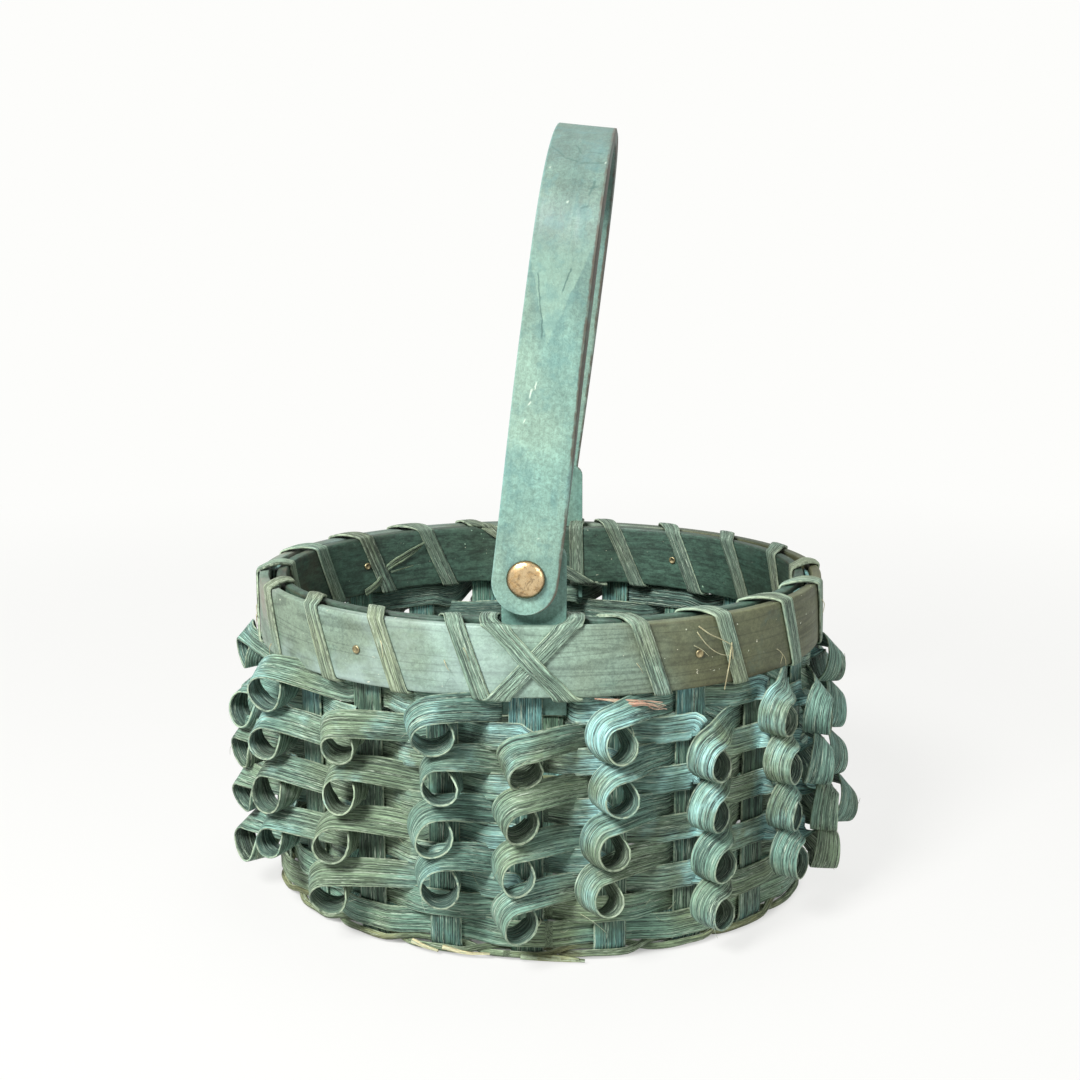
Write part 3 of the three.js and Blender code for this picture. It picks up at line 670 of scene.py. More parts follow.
def board_finish(
    name, stain, deep, drift, worn, figure_scale, drift_share=0.5, browning=0.0, lines=0.1, marks=None
):
    """Stained wood worn along its edges, greyer at the crown and browner towards the right, with painted
    shade darkening the inner band.
    """
    t = material(name)
    place = t.attribute("strip_place", "Vector")
    position = t.position()
    grain = t.grouped(BOARD_GRAIN, Place=place, Figure_Scale=figure_scale)
    colours = {"Exposed": stain, "Olive": drift, "Fresh": deep}
    freshness = grain["Figure"] - 0.2
    dye = t.grouped(DYE, Position=position, Freshness=freshness, Olive_Share=drift_share, **colours)
    x, _, z = t.parts(position)
    # On the bands the fresh attribute is 1 on the inner band and carries painted shade
    inner = t.attribute("fresh")
    uneven = (t.noise(position, 30.0, 3.0, 0.6) - 0.5) * 0.08
    browned = (x + uneven).ramp(0.008, 0.064) * browning
    browned = browned * t.math("SUBTRACT", 1.0, inner, clamp=True)
    colour = t.mix(browned, dye["Color"], drift)
    mottle = t.noise(position, 90.0, 4.0, 0.7).ramp(0.32, 0.68, 0.84, 1.1)
    crown = (z + uneven).ramp(0.18, 0.29, 1.18, 0.54)
    depth = inner * 0.42
    streaky = t.noise(t.stretched(place, 1.0, 1.0, 0.3), 700.0, 4.0, 0.75)
    tone = 0.9 + grain["Pores"].ramp(0.3, 0.7) * 0.08
    tone = tone * t.noise(position, 820.0, 4.0, 0.8, 0.8).ramp(0.34, 0.66, 0.76, 1.2)
    tone = tone * streaky.ramp(0.34, 0.66, 1.0 - depth, 1.0 + depth)
    tone = tone * (0.8 + dye["Blotches"] * 0.4)
    tone = tone * (1.0 - grain["Growth Lines"] * lines)
    # The last factor is painted shade, darkening the inner band to 0.3 of its tone
    tone = tone * (mottle * crown) * inner.ramp(0.0, 1.0, 1.0, 0.3)
    colour = t.toned(colour, tone)
    colour = t.mix(grain["Scratches"] * 0.5, colour, "#3f5a55")
    colour = t.mix(grain["Specks"] * 0.7, colour, "#d9e0c8")
    if marks:
        colour = marks(t, colour, position)
    rubbed = (t.attribute("worn") + (grain["Figure"] - 0.5) * 0.9).ramp(0.35, 0.8)
    colour = t.mix(rubbed * 0.75, colour, worn)
    roughness = grain["Figure"].ramp(0.2, 0.8, 0.5, 0.66)
    surface(t, colour, roughness, (grain["Height"], 0.0003, 0.5), Specular_IOR_Level=0.4)


def metal_finish(name, bright, tarnish, roughness, shade):
    """Aged metal with tarnish in its dents, painted reflections as dark clouds and a painted dark rim where
    it turns away from view.
    """
    t = material(name)
    position = t.position()
    stain = t.noise(position, 420.0, 4.0, 0.65)
    pits = t.noise(position, 1500.0, 2.0, 0.6)
    mask = stain.ramp(0.4, 0.72)
    colour = t.mix(mask, bright, tarnish)
    # Painted reflections: dark brownish clouds on the colour
    painted_reflections = t.noise(position, 330.0, 4.0, 0.7, 1.5).ramp(0.48, 0.7)
    colour = t.mix(painted_reflections * shade, colour, "#584a3b")
    # Painted shade: the dome's rim darkens where it turns away from view
    rim = t.out("ShaderNodeLayerWeight", output="Facing").ramp(0.06, 0.42)
    colour = t.mix(rim * shade, colour, "#4d3a26")
    bumps = (stain * 0.6 + pits * 0.2, 0.0004, 0.4)
    surface(t, colour, roughness + mask * 0.25, bumps, Metallic=mask.ramp(0.0, 1.0, 1.0, 0.7))


splint_finish("curled_splint", "#5e7e71", "#66704f", "#86b1ad", 2400.0, 0.62, 1.14, 0.4)
splint_finish("plain_splint", "#5b7b6a", "#677350", "#739c93", 2400.0, 0.7, 1.14, 0.35)
splint_finish("stake_splint", "#517465", "#54684e", "#6ca09e", 2100.0, 0.6, 1.12, 0.3)
# The lashing reed is darkened towards the back as painted shade
splint_finish(
    "lashing_reed", "#6b8271", "#7b7d5c", "#8fa9a0", 2400.0, 0.5, 1.1, painted_back_shade=0.4
)
splint_finish("round_reed", "#617257", "#7d7e57", "#5d7f70", 2800.0, 0.8)
splint_finish("bare_fibre", "#8fa085", "#a39a76", "#a9bfae", 3000.0, 0.5, 0.4)
splint_finish("pink_splinter", "#b98a76", "#a5785f", "#c9a08b", 2600.0, 0.5, 0.8)
splint_finish("straw_tip", "#b3ab84", "#a89a72", "#c3bd98", 2600.0, 0.5, 0.7)
board_finish(
    "handle_wood", "#6f8f83", "#567b77", "#7b9180", "#6e6a55", 300.0, 0.6, lines=0.05, marks=handle_marks
)
board_finish(
    "band_wood", "#788f80", "#5f7d70", "#4b4a2c", "#4c422f", 220.0, 0.4, 0.85, 0.3, band_marks
)
board_finish("ear_wood", "#62857a", "#4f7469", "#6a806c", "#544730", 260.0)
metal_finish("rivet_brass", "#dcc297", "#a07f50", 0.2, 0.75)
metal_finish("nail_iron", "#a89d78", "#5a5440", 0.42, 0.3)


# Stakes

CROSSWISE = range(-3, 4)
LENGTHWISE = range(-1, 2)
CROSSING_HALF = 5.2


def stake_rise(index, run):
    """Keys of one upright, from its top down the wall and round into the base."""
    foot, _, out = wall(index * SPACING)
    inward = -out
    bluest = 0.3 + 0.12 * ((index * 7 + 4) % 5)
    heights = ((STAKE_TOP, bluest), (92, bluest), (76, 0.3), (60, 0.3), (28, 0.3), (12, 0.3))
    keys = [key(foot + UP * z, np.cross(inward, UP), 0, 8.0, fresh) for z, fresh in heights]
    for angle in np.radians([0, 22.5, 45, 67.5, 90]):
        place = foot + inward * STAKE_BEND * (1 - math.cos(angle))
        place = place + UP * (BASE_MIDDLE + STAKE_BEND * (1 - math.sin(angle)))
        keys.append(key(place, np.cross(inward, UP), 0, 1.0, 0.4))
    start = foot + inward * STAKE_BEND + UP * BASE_MIDDLE
    elbow = start + inward * STAKE_SPLAY
    line = elbow + run * STAKE_SPLAY
    for share in (0.5, 1.0):
        place = start * (1 - share) ** 2 + 2 * share * (1 - share) * elbow + share**2 * line
        heading = unit((1 - share) * (elbow - start) + share * (line - elbow))
        keys.append(key(place, np.cross(heading, UP), 0, 2.0, 0.4))
    return keys


def stake_line(index):
    """Where a stake's straight run over the base would begin."""
    foot, _, out = wall(index * SPACING)
    return foot - out * (STAKE_BEND + STAKE_SPLAY)


def stake_keys(first, last, crossings):
    """Keys of a stake that crosses the base from one upright to another."""
    start, finish = stake_line(first), stake_line(last)
    run = unit(finish - start)
    rise = stake_rise(first, run)
    fall = [k.copy() for k in reversed(stake_rise(last, -run))]
    for k in fall:
        k[3:6] *= -1
    middle = []
    for spot, over in crossings:
        distance = float(np.dot(spot - start, run))
        for end in (-1, 1):
            place = start + run * (distance + end * CROSSING_HALF)
            place[2] = BASE_MIDDLE + (0.5 if over else -0.5) * LAYER_STEP
            middle.append(key(place, np.cross(run, UP), 0, 4.0, 0.35))
    return rise + middle + fall


def build_stakes():
    quarter = STAKES // 4
    paths = Paths()
    for order in CROSSWISE:
        crossings = [(stake_line(quarter + o), (order + o) % 2 != 0) for o in LENGTHWISE]
        paths.add(stake_keys(order, HALF_ROUND - order, crossings))
    for order in LENGTHWISE:
        crossings = [(stake_line(o), (order + o) % 2 == 0) for o in CROSSWISE]
        paths.add(stake_keys(3 * quarter - order, quarter + order, crossings))
    nodes = [f"stake_crosswise_{n}" for n in range(1, 8)] + [f"stake_lengthwise_{n}" for n in range(1, 4)]
    strip("wall_stakes", paths, STAKE_SIZE, "stake_splint", nodes, 32, (0.16, 700.0), 0.3)


# Weavers

# Curls that face the front, by column and from the top down: side shift, drop, radius and droop
FRONT_CURLS = {
    -3: [(-5.7, 3.4, 6.4, 0), (-6.2, 4.0, 6.1, 0), (-7.0, 6.0, 6.9, 0), (-7.4, 7.0, 5.6, 0)],
    -2: [(-0.9, 6.2, 5.5, 16), (-1.7, 5.2, 6.1, -5), (-4.2, 5.4, 6.2, -12), (-6.2, 8.1, 6.2, 12)],
    -1: [(2.5, 6.4, 6.9, 16), (4.0, 5.2, 6.0, -8), (2.1, 5.7, 6.4, -2), (3.9, 5.2, 6.9, 3)],
    0: [(1.1, 8.3, 6.2, 28), (0.0, 8.5, 6.0, 14), (-1.3, 8.4, 5.8, -8), (-0.5, 8.2, 6.1, 9)],
    1: [(0.4, 7.7, 6.3, -8), (0.6, 8.3, 6.2, -5), (-1.8, 8.8, 6.0, -10), (-3.1, 8.2, 5.8, -10)],
    2: [(3.0, 9.8, 5.8, 0), (3.4, 10.0, 5.6, 0), (5.0, 10.4, 6.0, 0), (4.8, 10.0, 5.8, 0)],
    3: [(1.0, 9.0, 6.0, 2), (3.0, 8.6, 5.8, 0), (5.0, 8.8, 5.9, 3), (7.0, 9.0, 6.2, 0)],
    4: [(-2.0, 7.4, 6.5, 2), (-3.0, 7.6, 6.4, 4), (1.5, 9.4, 6.6, 0), (3.0, 7.4, 6.3, 2)],
    5: [(0.0, 8.0, 6.0, 6), (0.4, 8.2, 6.9, 4), (0.0, 8.8, 6.9, 2), (0.5, 11.0, 6.8, 8)],
}

# How far out of the wall the middle of a curl stands, where that isn't drawn at random
REACHES = {4: [15.6, 16.2, 18.0, 17.8], 5: [13.2, 15.4, 15.2, 20.0]}

# Where the ribbon leaves the wall and lifts towards a curl, along the wall from its upright;
# on the sides and the back it does so nearer to the upright
LEAVES_WALL = 21.0
LIFTS = 14.5
NEARER = 5.6

# How the ribbon flares as a curl begins, in degrees round the curl and degrees of flare
FLARE_ANGLES = [0, 40, 80, 120]
FLARES = [42, 26, 10, 0]

# How fresh the dye is on the curls of each column that faces the front
COLUMN_FRESHNESS = {-4: 0.4, -3: 0.5, -2: 0.5, -1: 0.45, 0: 0.35, 1: 0.7, 2: 0.6, 3: 0.5, 4: 0.2}

# Middle, axis, rise, left and radius of every curl, for the hairs on it
curls = []


def curl_shape(order, row):
    """Side shift, drop, radius and droop of a curl."""
    if order in FRONT_CURLS:
        return FRONT_CURLS[order][row // 2]
    return (
        rng.normal(-1.5, 1.4),
        rng.normal(7.6 if row else 6.6, 0.7 if row else 0.3),
        rng.uniform(5.7, 6.5),
        rng.normal(4.0, 9.0),
    )


def curl_keys(stake, row):
    """Keys of one curl: in from the right, round anticlockwise as seen from outside, out to the left."""
    order = (stake + HALF_ROUND) % STAKES - HALF_ROUND
    shift, drop, radius, droop_degrees = curl_shape(order, row)
    at = stake * SPACING
    height = TOP_ROW - ROW_PITCH * row
    _, run, out = wall(at)
    droop, yaw = math.radians(droop_degrees), math.radians(20 + rng.normal(0, 4))
    reach = 17.0 + rng.normal(0, 0.5)
    if order in REACHES:
        reach = REACHES[order][row // 2]
    axis = run * math.sin(yaw) * math.cos(droop) + out * math.cos(yaw) * math.cos(droop)
    axis = axis - UP * math.sin(droop)
    rise = unit(UP - axis * np.dot(UP, axis))
    left = np.cross(axis, rise)
    hub_at = at + shift
    hub = on_wall(hub_at, reach, height - drop)
    curls.append((hub, axis, rise, left, radius))
    width = WEAVER_SIZE[0]
    fresh = COLUMN_FRESHNESS.get(order, rng.uniform(0.2, 0.6)) * (1 - 0.07 * row)
    oval, dent = rng.uniform(0, 6.3, 2)
    low_edge = height - 0.46 * width
    back_on_wall = on_wall(hub_at - 2.0, PASS_OFFSET + 1.4, low_edge)

    def loop_key(degrees):
        angle = math.radians(degrees)
        spoke = rise * math.cos(angle) + left * math.sin(angle)
        uneven = 1 + 0.045 * math.sin(2 * angle + oval) + 0.025 * math.sin(3 * angle + dent)
        edge = hub + spoke * radius * uneven
        back = ease(degrees, 245, 365)
        edge = edge * (1 - back) + back_on_wall * back
        dye = fresh * (1 - ease(degrees, 90, 200)) + 0.9 * ease(degrees, 270, 340)
        flare = math.radians(np.interp(degrees, FLARE_ANGLES, FLARES))
        lean = math.radians(84 * ease(degrees, 262, 362))
        across = spoke * math.sin(flare) + UP * math.sin(lean)
        across = across - axis * math.cos(flare) * math.cos(lean)
        return key(edge, across, width, 1.3, dye)

    top = loop_key(0)
    over = top[:3] - top[3:6] * width / 2
    faces_front = order in FRONT_CURLS
    tuck = 0 if row else 1.0 if faces_front else -1.3
    held = 0 if faces_front else NEARER
    first = on_wall(at + LEAVES_WALL - held, -0.4 + 0.3 * held, height - width / 2 + tuck)
    lifted = on_wall(at + LIFTS - held, 1.6 + 0.2 * held, height - width / 2 + 0.2 + tuck)
    before = over - left * 7.0 + rise * 0.6
    keys = []
    for share in (0, 0.14, 0.28, 0.42, 0.56, 0.7, 0.85):
        rest = 1 - share
        edge = rest**3 * first + 3 * rest**2 * share * lifted
        edge = edge + 3 * rest * share**2 * before + share**3 * over
        lean = math.radians(90 - 48 * ease(share, 0.0 if faces_front else 0.45, 1.0))
        across = (UP * rest + rise * share) * math.sin(lean) - axis * math.cos(lean)
        keys.append(key(edge, across, width, 1.6, 0.2 * rest**2 + fresh * share))
    keys += [loop_key(degrees) for degrees in range(0, 346, 15)]
    edge = on_wall(hub_at - 6.5, PASS_OFFSET + 0.2, low_edge)
    keys.append(key(edge, UP, width, 1.6, 0.3 + 0.55 * fresh))
    edge = on_wall(min(at - 11.6, hub_at - 11.0), PASS_OFFSET, low_edge)
    keys.append(key(edge, UP, width, 1.6, 0.15 + 0.6 * fresh))
    return keys


def pass_keys(stake, height, side, half=6.3, offset=PASS_OFFSET):
    """Keys of the ribbon flat against one upright, on its outer or inner side."""
    width = WEAVER_SIZE[0]
    rise = 0.4 + rng.normal(0, 0.25) + (0.9 if height > 90 else 0)
    keys = []
    for end in (1, 0, -1):
        outward = side * offset * (1 if end else 0.85)
        edge = on_wall(stake * SPACING + end * half, outward, height + rise - width / 2)
        keys.append(key(edge, UP, width, 3.0, 0.25))
    return keys


def weaver_keys(row):
    height = TOP_ROW - ROW_PITCH * row
    keys = []
    for stake in range(STAKES, 0, -1):
        front = (stake + row) % 2 != 0
        at_ear = stake % HALF_ROUND == 0 and height + 4.5 > EAR_BOTTOM
        if front and row < CURLED_ROWS:
            keys += curl_keys(stake, row)
        elif at_ear and not front:
            keys += pass_keys(stake, height, -1, 12.2, BAND_INSIDE + EAR_THICKNESS + 0.75)
        else:
            keys += pass_keys(stake, height, 1 if front else -1)
    return keys


def build_weavers():
    for row in range(CURLED_ROWS + PLAIN_ROWS):
        curled = row < CURLED_ROWS
        kind, finish = ("curled", "curled_splint") if curled else ("plain", "plain_splint")
        number = row + 1 if curled else row + 1 - CURLED_ROWS
        paths = Paths(weaver_keys(row), closed=True)
        nodes, seed = [f"{kind}_weaver_{number}"], 1.0 + row * 0.613
        strip(f"{kind}_row_{number}", paths, WEAVER_SIZE, finish, nodes, 28, (0.1, 1100.0), seed)


# Twined strands at the foot


def build_twine():
    """Two strands that change places between one upright and the next."""
    inside, outside, centre, swing = 2.9, 1.2, 3.0, 0.45
    for order in (0, 1):
        keys = []
        for stake in range(STAKES):
            side = 1 if (stake + order) % 2 == 0 else -1
            for along, held, lift in ((-0.2, 1, 0), (0, 1, 0), (0.2, 1, 0), (0.5, 0, 1)):
                outward = (outside - inside) / 2 + side * held * (outside + inside) / 2
                height = centre - side * held * swing + side * lift * 1.25
                spot = on_wall((stake + along) * SPACING, outward, height + rng.normal(0, 0.12))
                keys.append(key(spot, UP, 0, 2.4, 0.1, 1 + rng.normal(0, 0.05)))
        name, nodes = f"twined_reed_{order + 1}", [f"twined_strand_{order + 1}"]
        paths = Paths(keys, closed=True)
        strip(name, paths, TWINE_SIZE, "round_reed", nodes, 14, (0.1, 1600.0), 9.1 + order, (1.0, 1.0))


# Rim bands


def ear_push(along):
    """How far an ear pushes the inner band inwards."""
    from_ear = abs((along + GIRTH / 4) % (GIRTH / 2) - GIRTH / 4)
    begins, ends = EAR_WIDTH / 2 + 5.8, SPACING + EAR_THICKNESS
    return (1 - ease(from_ear, begins, ends)) * (EAR_THICKNESS + 0.3)


def build_bands():
    size = (RIM_TOP - RIM_BOTTOM, BAND_THICKNESS)
    for side, name in ((1, "outer"), (-1, "inner")):
        keys = []
        for along in GIRTH * np.arange(240) / 240:
            push = ear_push(along) if side < 0 else 0
            spot = on_wall(along, side * (BAND_INSIDE + BAND_THICKNESS / 2 + push), RIM_MIDDLE)
            # A fresh value of 1 marks the inner band, which band_wood darkens as painted shade
            keys.append(key(spot, UP, 0, 5.0, float(side < 0)))
        paths, nodes = Paths(keys, closed=True), [f"rim_{name}_band"]
        round_off = (0.22, 0.22)
        strip(f"rim_{name}_strip", paths, size, "band_wood", nodes, 48, (0.12, 160.0), 3.0 + side, round_off)


# Lashing

LASH_GAP = 0.62
LASH_OUT = BAND_FACE + 0.66
LASH_OVER = RIM_TOP + LASH_GAP
LASH_UNDER = RIM_BOTTOM - LASH_GAP

# Places of a turn along the rim, from its upright, and the slant of its outer run
TURN_UNDER = 17.2
TURN_LEAVES = 29.6
TURN_SLANT = 8.6
LAST_LEAVES = SPACING - 13.0

# Places of the cross at an ear, from the middle of the ear
CROSS_NEAR = -9.0
CROSS_FAR = 14.0
CROSS_BEGINS = -20.0


def lash_offset(along, side):
    return side * (LASH_OUT + (ear_push(along) if side < 0 else 0))


def lash_run(start, finish, side, lifts=((0.12, 0), (0.5, 0), (0.88, 0))):
    """One run of the reed down the outer face or up the inner face."""
    top, bottom = (LASH_OVER, LASH_UNDER) if side > 0 else (LASH_UNDER, LASH_OVER)
    cut = 1.1 * side

    def spot(along, outward, height, step):
        before, after = (on_wall(a, lash_offset(a, side), height) for a in (along - 2, along + 2))
        return key(on_wall(along, outward, height), after - before, 0, step, 0.2)

    drift = (finish - start) / abs(bottom - top) * abs(cut)
    face_start, face_finish = lash_offset(start, side), lash_offset(finish, side)
    keys = [
        spot(start - drift, face_start - cut, top, 0.6),
        spot(start, face_start - 0.3 * cut, top - 0.3 * cut, 0.6),
        spot(start + drift, face_start, top - cut, 1.5),
    ]
    for share, lift in lifts:
        along = start + (finish - start) * share
        keys.append(spot(along, lash_offset(along, side) + side * lift, top + (bottom - top) * share, 1.5))
    keys += [
        spot(finish - drift, face_finish, bottom + cut, 1.5),
        spot(finish, face_finish - 0.3 * cut, bottom + 0.3 * cut, 0.6),
        spot(finish + drift, face_finish - cut, bottom, 0.6),
    ]
    return keys


# Lift of the two crossing runs at an ear, by share of the run
CROSS_BELOW = ((0.1, 0), (0.25, 0), (0.4, 1.1), (0.6, 1.1), (0.75, 0), (0.9, 0))
CROSS_INSIDE = ((0.04, 0.3), (0.12, 1.2), (0.22, 1.2), (0.5, 1.2), (0.75, 1.2), (0.92, 1.0))


def build_lashing():
    """One turn to each upright and a cross at each ear."""
    keys = []
    for stake in range(STAKES):
        at = stake * SPACING
        before_ear = (stake + 1) % HALF_ROUND == 0
        bottom = at + TURN_UNDER - (1.4 if before_ear else 0) + rng.normal(0, 0.4)
        leave = at + TURN_LEAVES + rng.normal(0, 0.5)
        if stake % HALF_ROUND == 0:
            near, right = at + CROSS_NEAR, at + CROSS_FAR
            keys += lash_run(near, right, 1, CROSS_BELOW)
            keys += lash_run(right, right + 3.0, -1)
            keys += lash_run(right, near, 1, ((0.1, 0), (0.5, 0), (0.9, 0)))
            keys += lash_run(at + CROSS_BEGINS, leave, -1, CROSS_INSIDE)
        else:
            keys += lash_run(bottom - TURN_SLANT, bottom, 1)
            keys += lash_run(bottom, at + LAST_LEAVES if before_ear else leave, -1)
    paths, ribs = Paths(keys, closed=True), (0.16, 1000.0)
    strip("rim_lashing_reed", paths, LASH_SIZE, "lashing_reed", ["rim_lashing"], 26, ribs, 5.7, skewed=True)


# Boards: a flat outline, thickened, bevelled and then bent along a path


def board(name, outline_rows, thickness, bevel, finish, bend):
    """A board from rows of (place along, half width), mapped by bend(across, through, along)."""
    columns = np.linspace(-1, 1, 9)
    made = bmesh.new()
    grid = []
    for along, half in outline_rows:
        if half < 1e-6:
            grid.append([made.verts.new((0, 0, along))] * len(columns))
        else:
            grid.append([made.verts.new((c * half, 0, along)) for c in columns])
    for lower, upper in zip(grid, grid[1:]):
        for i in range(len(columns) - 1):
            face_of(made, (lower[i], lower[i + 1], upper[i + 1], upper[i]))
    thing = placed(name, mesh_from(name, made))
    solid = thing.modifiers.new("thickness", "SOLIDIFY")
    solid.thickness, solid.offset = thickness, 0
    rounded = thing.modifiers.new("edges", "BEVEL")
    rounded.width, rounded.segments = bevel, 3
    rounded.limit_method, rounded.angle_limit = "ANGLE", math.radians(50)
    seen = thing.evaluated_get(bpy.context.evaluated_depsgraph_get())
    flat = bpy.data.meshes.new_from_object(seen)
    bpy.data.objects.remove(thing)
    co = np.array([v.co for v in flat.vertices])
    ways = np.abs(np.array([v.normal for v in flat.vertices]))
    spread = np.interp(co[:, 2], [r[0] for r in outline_rows], [max(r[1], 1.0) for r in outline_rows])
    mark_points(flat, "side_reach", co[:, 0] / spread)
    mark_points(flat, "strip_place", co * MM)
    mark_points(flat, "worn", 1 - np.clip((ways.max(axis=1) - 0.62) / 0.3, 0, 1))
    bent = np.array([bend(*p) for p in co]) * MM
    flat.vertices.foreach_set("co", bent.astype(np.float32).ravel())
    flat.materials.clear()
    flat.materials.append(finishes[finish])
    flat.shade_smooth()
    flat.update()
    fixed = bmesh.new()
    fixed.from_mesh(flat)
    bmesh.ops.recalc_face_normals(fixed, faces=fixed.faces)
    fixed.to_mesh(flat)
    fixed.free()
    flat.name = name
    return placed(name, flat)


def face_of(made, corners):
    """A face of the corners that differ, where three or more do."""
    unique = list(dict.fromkeys(corners))
    if len(unique) > 2:
        made.faces.new(unique)


HANDLE_WIDTH = 22.4
HANDLE_THICKNESS = 4.5
LEG_CENTRE = WALL_HALF_DEPTH - BAND_INSIDE + 0.3 + HANDLE_THICKNESS / 2
HANDLE_RISE = 149.8
HANDLE_DROP = 13.2
LEG_STRAIGHT = 104.0
CROWN_FLAT = 26.0


def handle_line():
    """Middle line of the handle, from one lower end over the crown to the other."""
    crown = HANDLE_RISE - HANDLE_THICKNESS / 2
    flat = CROWN_FLAT / 2
    a = np.array([-LEG_CENTRE, LEG_STRAIGHT])
    b = np.array([-LEG_CENTRE, LEG_STRAIGHT + 0.72 * (crown - LEG_STRAIGHT)])
    c = np.array([-flat - 0.5 * (LEG_CENTRE - flat), crown])
    d = np.array([-flat, crown])
    t = np.linspace(0, 1, 60)[:, None]
    bend = (1 - t) ** 3 * a + 3 * t * (1 - t) ** 2 * b + 3 * t**2 * (1 - t) * c + t**3 * d
    legs = np.array([[-LEG_CENTRE, z] for z in np.linspace(-HANDLE_DROP, LEG_STRAIGHT, 40)[:-1]])
    top = np.array([[y, crown] for y in np.linspace(-flat, 0, 8)[1:]])
    half = np.concatenate([legs, bend, top])
    return np.concatenate([half, (half * [-1, 1])[::-1][1:]])


def build_handle():
    line = handle_line()
    lengths = reached(line)
    total = lengths[-1]
    radius = HANDLE_WIDTH / 2

    def half_width(s):
        from_end = min(s, total - s)
        if from_end >= radius:
            return radius * (1 - 0.09 * ease(from_end, 20, total / 2 - 10))
        return math.sqrt(max(radius**2 - (radius - from_end) ** 2, 0))

    def on_line(along):
        return np.array([np.interp(along, lengths, line[:, 0]), np.interp(along, lengths, line[:, 1])])

    def bend(across, through, along):
        """Bends the board to its arch, with the slight warp it has taken up."""
        from_end = min(along, total - along)
        near = along < total / 2
        risen = ease(from_end, 12, 90)
        warp = math.radians((14 if near else -7) * risen * (1 - ease(from_end, 120, total / 2)))
        across, through = (
            across * math.cos(warp) - through * math.sin(warp),
            across * math.sin(warp) + through * math.cos(warp),
        )
        leg = math.sin(math.pi * np.clip((from_end - 12) / (total / 2 - 12), 0, 1))
        across += 0.6 * (1 - ease(from_end, 30, 90)) if near else 0
        across += (-0.2 if near else 0.5) * leg
        y, z = on_line(along)
        heading = unit(on_line(min(along + 1.5, total)) - on_line(max(along - 1.5, 0)))
        y, z = y - heading[1] * through, z + heading[0] * through
        return turn @ np.array([across, y, z]) + UP * AXIS_HEIGHT

    ends = radius * (1 - np.cos(np.linspace(0, math.pi / 2, 12)))
    middle = np.arange(radius + 2.5, total - radius - 1, 2.5)
    rows = [(s, half_width(s)) for s in np.concatenate([ends, middle, total - ends[::-1]])]
    turn = np.array(Matrix.Rotation(LEAN, 3, "Y"))
    handle = board("bent_handle", rows, HANDLE_THICKNESS, 0.9, "handle_wood", bend)
    settle(handle, HANDLE, "handle_wood", "handle")


def build_ears():
    """The ears, each a little off the middle of its side as in the photo."""
    half, corner = EAR_WIDTH / 2, 4.5
    rows = [(z, half) for z in np.arange(EAR_BOTTOM, EAR_TOP - corner, 4.0)]
    for a in np.linspace(0, math.pi / 2, 7):
        rows.append((EAR_TOP - corner + corner * math.sin(a), half - corner + corner * math.cos(a)))
    for side, name, shift in ((-1, "front", 3.0), (1, "back", 3.6)):
        middle = side * (WALL_HALF_DEPTH - BAND_INSIDE - EAR_THICKNESS / 2)

        def bend(across, through, along, middle=middle, shift=shift):
            return np.array([across + shift, middle + through, along])

        ear = board(f"{name}_ear", rows, EAR_THICKNESS, 0.6, "ear_wood", bend)
        settle(ear, BASKET, "ear_wood", f"ear_{name}")


# Metal fixings: the radius and height of each profile

RIVET_SHIFT = 0.7
RIVET_HEIGHT = AXIS_HEIGHT - 0.8
HEAD_PROFILE = [(0, -3.0), (2.4, -3.0), (2.4, 0.0), (6.1, 0.0), (6.45, 0.2), (6.5, 0.5), (6.3, 0.8)]
for angle in np.radians([14, 26, 38, 50, 62, 74, 82]):
    HEAD_PROFILE.append((6.3 * math.cos(angle), 0.7 + 1.9 * math.sin(angle)))
HEAD_PROFILE.append((0, 2.6))
BURR_PROFILE = [(0, -0.5), (5.2, -0.5), (5.4, -0.3), (5.4, 0.6), (5.2, 0.8)]
BURR_PROFILE += [(3.6, 0.9), (3.6, 1.2), (3.0, 1.9), (1.6, 2.3), (0, 2.4)]
NAIL_PROFILE = [(0, -2.0), (0.7, -2.0), (0.7, 0.05), (1.4, 0.1), (1.55, 0.3)]
NAIL_PROFILE += [(1.4, 0.6), (1.05, 0.66), (0.75, 0.4), (0, 0.36)]
NAILS = [(2, 1), (-2, 1), (8, -1), (13, -1)]


def turned(name, profile, finish, centre, way, sides=48, dents=0.05):
    """A turned piece from (radius, height) points, with its height along `way`."""
    made = bmesh.new()
    rings = []
    for radius, height in profile:
        ring = []
        for angle in 2 * math.pi * np.arange(sides if radius else 1) / sides:
            bump = dents * math.sin(3 * angle + height) * math.sin(2.0 * radius)
            spot = (radius * math.cos(angle), radius * math.sin(angle), height + bump)
            ring.append(made.verts.new(spot))
        rings.append(ring)
    for low, high in zip(rings, rings[1:]):
        for n in range(sides):
            a, b = n % len(low), (n + 1) % len(low)
            c, d = (n + 1) % len(high), n % len(high)
            face_of(made, (low[a], low[b], high[c], high[d]))
    bmesh.ops.recalc_face_normals(made, faces=made.faces)
    turn = Vector((0, 0, 1)).rotation_difference(Vector(way)).to_matrix().to_4x4()
    made.transform(Matrix.Scale(MM, 4) @ Matrix.Translation(Vector(centre)) @ turn)
    mesh = mesh_from(name, made)
    mesh.materials.append(finishes[finish])
    mesh.shade_smooth()
    return placed(name, mesh)


def build_rivets():
    outer = LEG_CENTRE + HANDLE_THICKNESS / 2 + 0.25
    inner = WALL_HALF_DEPTH - BAND_INSIDE - EAR_THICKNESS
    for side, name in ((-1, "front"), (1, "back")):
        centre, way = (RIVET_SHIFT, side * outer, RIVET_HEIGHT), (0, side, 0)
        head = turned(f"rivet_head_{name}", HEAD_PROFILE, "rivet_brass", centre, way)
        settle(head, BASKET, "rivet_brass", f"rivet_{name}")
        centre, way = (RIVET_SHIFT, side * inner, RIVET_HEIGHT), (0, -side, 0)
        burr = turned(f"rivet_burr_{name}", BURR_PROFILE, "rivet_brass", centre, way, dents=0.04)
        settle(burr, BASKET, "rivet_brass", f"burr_{name}")


